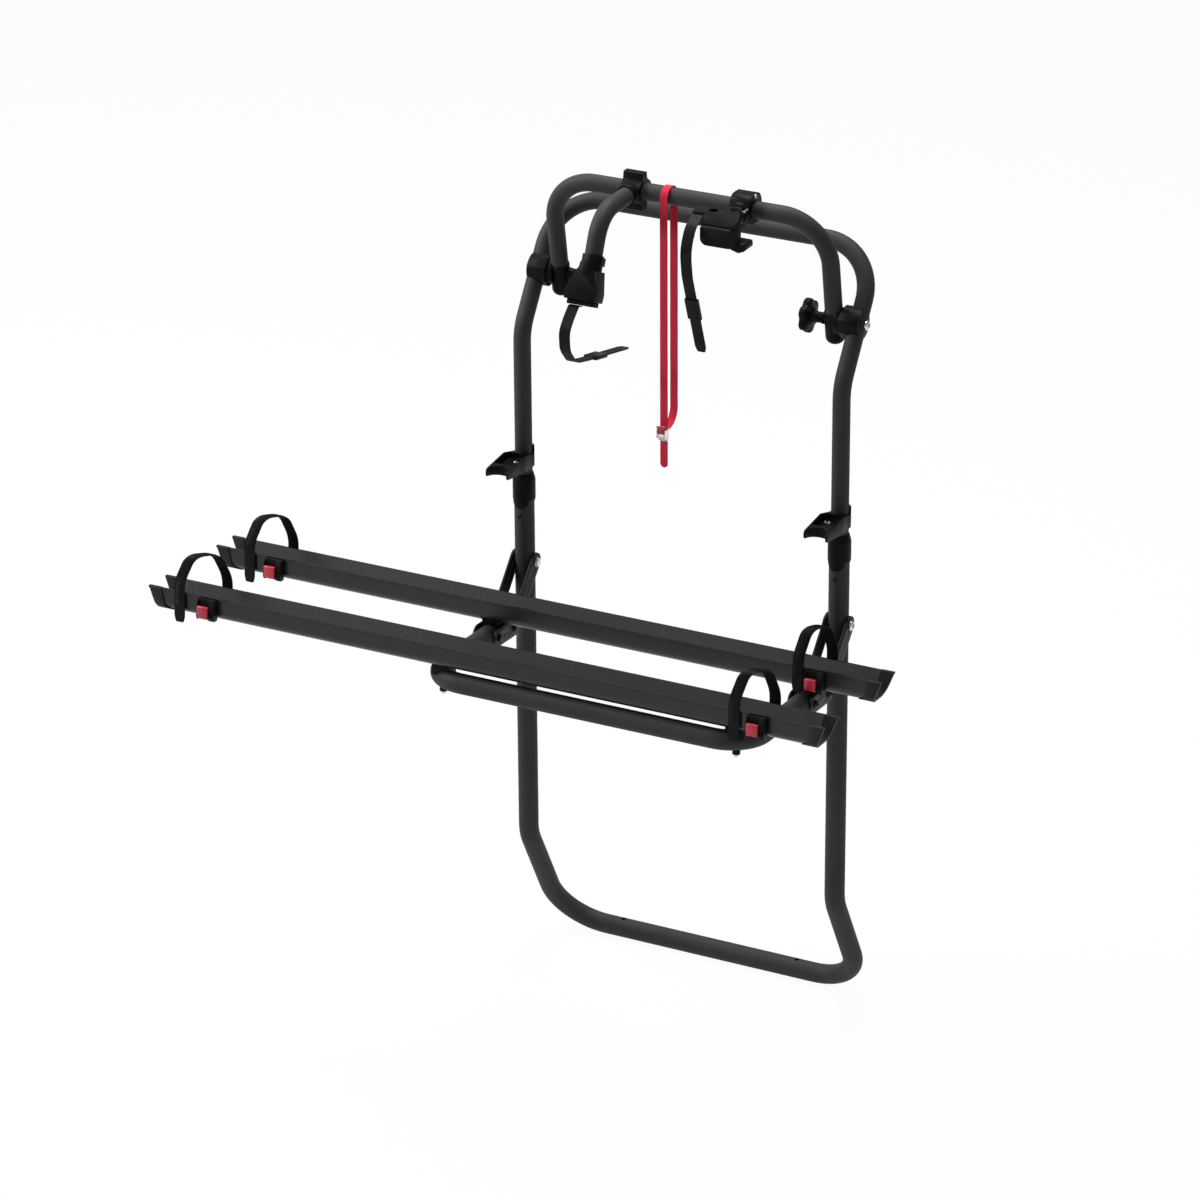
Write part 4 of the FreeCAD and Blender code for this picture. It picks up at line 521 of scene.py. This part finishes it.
def wheel_strap(rail, side):
    """Strap in an arch from the far wall's outside to the buckle on the near wall."""
    far = -30.2
    near = 31.5
    middle = (far + near) / 2
    half = (near - far) / 2
    shift = ARCH_SKEW[f"{rail}_{side}"]
    along = FORWARD * (near - far) - X_AXIS * shift
    bend = along.length * 0.3
    tail = 5 if (rail, side) == ("rear", "right") else 14
    arch = 104
    arch_half = 0.52
    shoulder = 59.2
    shoulder_bend = 70
    start = 8
    route = [(-1, start, 0), (-1, shoulder, shoulder_bend), (-arch_half, arch, bend),
             (arch_half, arch, bend), (1, shoulder, shoulder_bend), (1, -tail, 0)]
    corners = [(on_platform(RAIL_REACH[rail] + middle + part * half, RAIL_SEAT + height,
                            BUCKLE_X[side] + FAR_END - shift * (part + 1) / 2), radius * MM)
               for part, height, radius in route]
    plane = along.cross(UPWARD).normalized()
    return band(f"{rail}_wheel_strap_{side}", corners, plane, X_AXIS, ladder_section(30 * MM),
                TOOTH_PITCH / 8, "strap_plastic", f"{rail}_tray")


def joined(things, name):
    """One object from several that share a body."""
    with bpy.context.temp_override(active_object=things[0], selected_editable_objects=things):
        bpy.ops.object.join()
    things[0].name = name
    return things[0]


for rail in RAIL_REACH:
    pair = joined([wheel_strap(rail, "left"), wheel_strap(rail, "right")], f"{rail}_ladder_straps")
    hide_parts(f"{rail}_wheel_straps")
    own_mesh(pair)

# Straps of the bike blocks: ends of their arms, and routes from there as (Y, Z, bend radius)
LONG_END = Vector((-113.5, -252.21, 1354.98))
SHORT_END = Vector((63.5, -160.09, 1442.43))
LONG_ROUTE = [(-19.06, -57.69, 0), (-29.18, -53.39, 8), (-48, -69, 20), (-65, -88, 26), (-63, -121, 32),
              (-38, -150, 34), (6, -161, 40), (156, -193, 0)]
SHORT_ROUTE = [(2, 11.45, 0), (-24, 11.45, 14), (-50, -1, 30), (-69, -34, 60), (-62, -82, 80), (-8, -232, 0)]
for name, end, route in (("long", LONG_END, LONG_ROUTE), ("short", SHORT_END, SHORT_ROUTE)):
    corners = [((end + Vector((0, y, z))) * MM, radius * MM) for y, z, radius in route]
    strap = band(f"{name}_ladder_strap", corners, X_AXIS, X_AXIS, ladder_section(22 * MM),
                 TOOTH_PITCH / 8, "strap_plastic", f"{name}_jaw")
    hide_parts(f"{name}_strap")

# Webbing: half width, half thickness, its place along the bar, and the hoop bar it hangs from
WEB_HALF = 7 * MM
HALF_THICKNESS = 0.9
WEB_THICK = HALF_THICKNESS * MM
WEB_X = -35
WEB_TURN = 18.9 * MM
RIPPLE = 0.12 * MM
RIPPLE_WAVES = 90
WEB_GAP = 0.5
WEB_SPREAD = 19
WEB_DROP = 418
WEB_TAIL = 62
BAR_Y = -90.09
BAR_Z = 1442.43
BAR_RADIUS = 15


def webbing_section(travelled, length):
    """Section of the webbing: a flat band with rolled edges, round at its free end."""
    reach_in = min(1, travelled / WEB_HALF)
    half = WEB_HALF * math.sqrt(max(0.02, 1 - (1 - reach_in) ** 2))
    ripple = RIPPLE * math.sin(travelled * RIPPLE_WAVES)
    edge = WEB_THICK * 0.6
    side = WEB_THICK * 0.4
    loop = [(-half + edge, -WEB_THICK), (half - edge, -WEB_THICK), (half, -side), (half, side),
            (half - edge, WEB_THICK), (-half + edge, WEB_THICK), (-half, side), (-half, -side)]
    return [(a, n + ripple) for a, n in loop]


web_top = BAR_Z + BAR_RADIUS + WEB_GAP + HALF_THICKNESS
web_buckle = BAR_Z - WEB_DROP
web_front = BAR_Y - WEB_SPREAD
web_rear = BAR_Y + WEB_SPREAD
web_corners = [(Vector((WEB_X, y, z)) * MM, radius) for y, z, radius in (
    (web_front, web_buckle - WEB_TAIL, 0),
    (web_front, web_top, WEB_TURN),
    (web_rear, web_top, WEB_TURN),
    (web_rear, web_buckle + 12, 30 * MM),
    (web_front + 2, web_buckle + 6, 0))]
web = band("webbing_loop", web_corners, X_AXIS, X_AXIS, webbing_section, 1.5 * MM, "webbing", "webbing")
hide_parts("security_strap")


# Knobs: profile as (distance from the joint's face, radius, share of the scallops' depth)
JOINT_PLACE = (-59.8, 1261.45)
JOINT_AXIS = Vector((0, *JOINT_PLACE)) * MM
KNOB_FACE = 236.8
KNOB_LOBES = 6
KNOB_STEPS = 96
KNOB_PROFILE = [(0, 9.5, 0), (0.6, 10.2, 0), (3, 10.2, 0), (4, 9.3, 0), (12, 9.3, 0), (17, 10.5, 0),
                (20, 13, 0.05), (22.3, 18, 0.3), (22.8, 25, 0.8), (23.6, 28.2, 0.95), (25.2, 29.6, 1),
                (27.5, 30, 1), (32.5, 30, 1), (35, 29.4, 1), (36.4, 27.8, 0.95), (37, 25, 0.8),
                (36.6, 21, 0.4), (35.6, 17, 0.1), (35.4, 12, 0), (36.6, 10.6, 0), (37.2, 8.5, 0),
                (37.3, 3, 0)]
SCALLOP = 5.2
SCALLOP_ROUNDING = 1.6


def knob(side, sign):
    """Star knob: a flared hub, scalloped rim and shallow dished face, turned about the joint's bolt."""
    made = bmesh.new()
    rings = []
    for along, radius, lobed in KNOB_PROFILE:
        ring = []
        for k in range(KNOB_STEPS):
            angle = 2 * math.pi * k / KNOB_STEPS
            dip = (0.5 - 0.5 * math.cos(KNOB_LOBES * angle)) ** SCALLOP_ROUNDING
            reach_out = (radius - SCALLOP * lobed * dip) * MM
            ring.append(made.verts.new(JOINT_AXIS + Vector((sign * (KNOB_FACE - along) * MM,
                                                            reach_out * math.sin(angle),
                                                            reach_out * math.cos(angle)))))
        rings.append(ring)
    name = f"knob_{side}_star"
    thing = new_object(name, closed_mesh(name, made, rings, sharp=50), "black_plastic", f"{side}_knob")
    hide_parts(f"knob_{side}")


for side, sign in (("left", -1), ("right", 1)):
    knob(side, sign)


# Fasteners: each end as (depth from the outer face, radius, hexagonal) from the middle out
ROUND_STEPS = 24
MIDDLE = 0.001


def button_end(radius, height):
    """Domed head with a hexagon recess."""
    return [(height * 0.62, MIDDLE, False), (height * 0.6, radius * 0.46, True),
            (height * 0.04, radius * 0.48, True), (0, radius * 0.58, False),
            (height * 0.2, radius * 0.84, False), (height * 0.5, radius * 0.97, False),
            (height * 0.62, radius, False), (height, radius, False)]


def cylinder_end(radius, height):
    """Straight socket head with a hexagon recess."""
    return [(height * 0.7, MIDDLE, False), (height * 0.68, radius * 0.5, True),
            (height * 0.06, radius * 0.52, True), (0, radius * 0.62, False), (0, radius * 0.9, False),
            (height * 0.12, radius, False), (height, radius, False)]


def nut_end(radius, height, thread):
    """Chamfered hexagon nut with its bolt's end showing and a washer under it."""
    return [(0, MIDDLE, False), (0, thread * 0.75, False), (height * 0.08, thread * 0.92, False),
            (height * 0.16, thread * 0.92, False), (height * 0.16, radius * 0.78, False),
            (height * 0.22, radius * 0.95, True), (height * 0.8, radius * 0.95, True),
            (height * 0.8, radius, False), (height, radius, False)]


def plain_end(radius):
    """Flat end with a small chamfer."""
    return [(0, MIDDLE, False), (0, radius * 0.8, False), (radius * 0.2, radius, False)]


def fastener(start, end, shank, first, second):
    """Bolt from start to end, both outer faces, as one closed surface turned about its line."""
    axis = (end - start).normalized()
    length = (end - start).length
    side = axis.orthogonal().normalized()
    other = axis.cross(side)
    stations = list(first) + [(first[-1][0], shank, False)]
    stations += [(length - depth, radius, hexagonal)
                 for depth, radius, hexagonal in [(second[-1][0], shank, False)] + list(second)[::-1]]
    made = bmesh.new()
    rings = []
    for depth, radius, hexagonal in stations:
        ring = []
        for k in range(ROUND_STEPS):
            angle = 2 * math.pi * k / ROUND_STEPS
            reach_out = radius
            if hexagonal:
                reach_out *= math.cos(math.pi / 6) / math.cos(angle % (math.pi / 3) - math.pi / 6)
            spot = start + axis * depth + (side * math.cos(angle) + other * math.sin(angle)) * reach_out
            ring.append(made.verts.new(spot * MM))
        rings.append(ring)
    return closed_mesh("fastener", made, rings, sharp=35, weld=1e-7)


def fasteners(node, meshes):
    """One object from the bolts of a node, in the node's place."""
    things = [new_object(f"{node}_{k}", mesh, slot_of[node], body_of[node]) for k, mesh in enumerate(meshes)]
    whole = joined(things, f"{node}_set")
    dress(whole, finish_of[node])
    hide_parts(node)


def along_x(place, inner, outer, shank, first, second):
    """The same bolt on both sides of the rack, from its inner face to its outer face."""
    y, z = place
    return [fastener(Vector((sign * inner, y, z)), Vector((sign * outer, y, z)), shank, first, second)
            for sign in (-1, 1)]


# Places of the bolts and screws in millimetres, as in the CAD
UPRIGHT_X = 296.5
ARM_BOLTS = [(-202.5, 655.6), (-258.9, 659.2)]
CLIP_SCREWS_X = [-293.3, -286.7, 286.7, 293.3]
LOW_EAR_Z = 1416.4
TOP_EAR_Z = 1468.4
LONG_EARS = [(-106, LOW_EAR_Z), (-88, LOW_EAR_Z), (-106, TOP_EAR_Z), (-88, TOP_EAR_Z)]
SHORT_EAR = (95, LOW_EAR_Z)
REAR_BOLT = ((-240.8, 628.5), (-236.9, 688.1))
FRONT_BOLT = ((-463.8, 642.9), (-460.0, 702.5))
RAIL_BOLTS = [(-UPRIGHT_X, *REAR_BOLT), (UPRIGHT_X, *REAR_BOLT), (-271.6, *FRONT_BOLT), (271.6, *FRONT_BOLT)]


def ear_screw(x, z):
    """Screw through a clamp's ear, put in from behind."""
    return fastener(Vector((x, -80.1, z)), Vector((x, -94.6, z)), shank=2.5,
                    first=cylinder_end(radius=4.5, height=3), second=plain_end(radius=2.5))


fasteners("pivot_bolts", along_x(PIVOT_PLACE, inner=269, outer=324, shank=5,
                                 first=nut_end(radius=8.5, height=5, thread=5),
                                 second=button_end(radius=8.5, height=5)))
fasteners("arm_bolts", [mesh for place in ARM_BOLTS
                        for mesh in along_x(place, inner=269.5, outer=323.5, shank=4,
                                            first=nut_end(radius=6.8, height=5, thread=4),
                                            second=button_end(radius=6.8, height=5))])
fasteners("joint_bolts", along_x(JOINT_PLACE, inner=214.8, outer=316.5, shank=5, first=plain_end(radius=5),
                                 second=button_end(radius=8.5, height=5)))
fasteners("clip_screws", [fastener(Vector((x, -157, 928.5)), Vector((x, -157, 943.5)), shank=1.5,
                                   first=plain_end(radius=1.5), second=button_end(radius=3, height=3))
                          for x in CLIP_SCREWS_X])
fasteners("collar_screws", [fastener(Vector((x, -136.5, 833)), Vector((x, -140.5, 833)), shank=2.25,
                                     first=plain_end(radius=2.25), second=button_end(radius=4.5, height=2))
                            for x in (-UPRIGHT_X, UPRIGHT_X)])
fasteners("long_clamp_screws", [ear_screw(x, z) for x, z in LONG_EARS])
set_screw = fastener(Vector((120.9, -108.7, 1450.7)), Vector((120.9, -130.7, 1450.7)), shank=2,
                     first=plain_end(radius=2), second=button_end(radius=2, height=1))
hinge_pin = fastener(Vector((85, -90.1, 1465.4)), Vector((125, -90.1, 1465.4)), shank=2.5,
                     first=button_end(radius=4, height=2), second=button_end(radius=4, height=2))
fasteners("short_clamp_screws", [ear_screw(*SHORT_EAR), set_screw, hinge_pin])
fasteners("rail_bolts", [fastener(Vector((x, *low)), Vector((x, *high)), shank=4, first=plain_end(radius=4),
                                  second=button_end(radius=8.5, height=3)) for x, low, high in RAIL_BOLTS])

# Ground that is seen almost white and still takes a faint shadow, backdrop and light
WHITE = (1, 1, 1, 1)
FLOOR_GREY = (0.7, 0.7, 0.7)
FLOOR_GLOW = 0.95
floor_mesh = bpy.data.meshes.new("floor")
ground = cad_low.z - 0.0005
half_floor = 30.0
floor_corners = [(x * half_floor, y * half_floor, ground) for x, y in ((-1, -1), (1, -1), (1, 1), (-1, 1))]
floor_mesh.from_pydata(floor_corners, [], [(0, 1, 2, 3)])
floor = bpy.data.objects.new("floor", floor_mesh)
bpy.context.scene.collection.objects.link(floor)
floor_shader = Shader("floor")
floor_shader.set(Base_Color=FLOOR_GREY, Roughness=0.9, Specular_IOR_Level=0.1)
glow = floor_shader.node("ShaderNodeEmission")
glow.inputs["Color"].default_value = WHITE
glow.inputs["Strength"].default_value = 1.0
paths = floor_shader.node("ShaderNodeLightPath")
seen = floor_shader.combine(paths.outputs["Is Camera Ray"], paths.outputs["Is Glossy Ray"], "MAXIMUM")
mixed = floor_shader.node("ShaderNodeMixShader")
floor_shader.link(floor_shader.combine(seen, FLOOR_GLOW), mixed.inputs[0])
floor_shader.link(floor_shader.body.outputs[0], mixed.inputs[1])
floor_shader.link(glow.outputs[0], mixed.inputs[2])
floor_shader.link(mixed.outputs[0], floor_shader.output.inputs["Surface"])
dress(floor, floor_shader.material)

world = bpy.data.worlds.new("world")
bpy.context.scene.world = world
world.use_nodes = True
tree = world.node_tree
tree.nodes.clear()
sky = tree.nodes.new("ShaderNodeBackground")
sky.inputs["Color"].default_value = WHITE
sky.inputs["Strength"].default_value = 0.26
white = tree.nodes.new("ShaderNodeBackground")
white.inputs["Strength"].default_value = 1.0
white.inputs["Color"].default_value = WHITE
world_paths = tree.nodes.new("ShaderNodeLightPath")
world_mix = tree.nodes.new("ShaderNodeMixShader")
world_out = tree.nodes.new("ShaderNodeOutputWorld")
tree.links.new(world_paths.outputs["Is Camera Ray"], world_mix.inputs[0])
tree.links.new(sky.outputs[0], world_mix.inputs[1])
tree.links.new(white.outputs[0], world_mix.inputs[2])
tree.links.new(world_mix.outputs[0], world_out.inputs["Surface"])


def area_light(name, place, aim, power, size):
    """Round soft light aimed at a point."""
    data = bpy.data.lights.new(name, "AREA")
    data.energy = power
    data.shape = "DISK"
    data.size = size
    lamp = bpy.data.objects.new(name, data)
    bpy.context.scene.collection.objects.link(lamp)
    lamp.location = place
    lamp.rotation_euler = (Vector(aim) - Vector(place)).to_track_quat("-Z", "Y").to_euler()


centre = (-0.15, -0.15, 0.75)
area_light("key", (-4.4, -1.4, 4.0), centre, power=300, size=2.0)
area_light("fill", (2.4, -4.0, 2.2), centre, power=8, size=3.0)
area_light("back", (-0.6, 1.2, 5.0), centre, power=200, size=2.4)
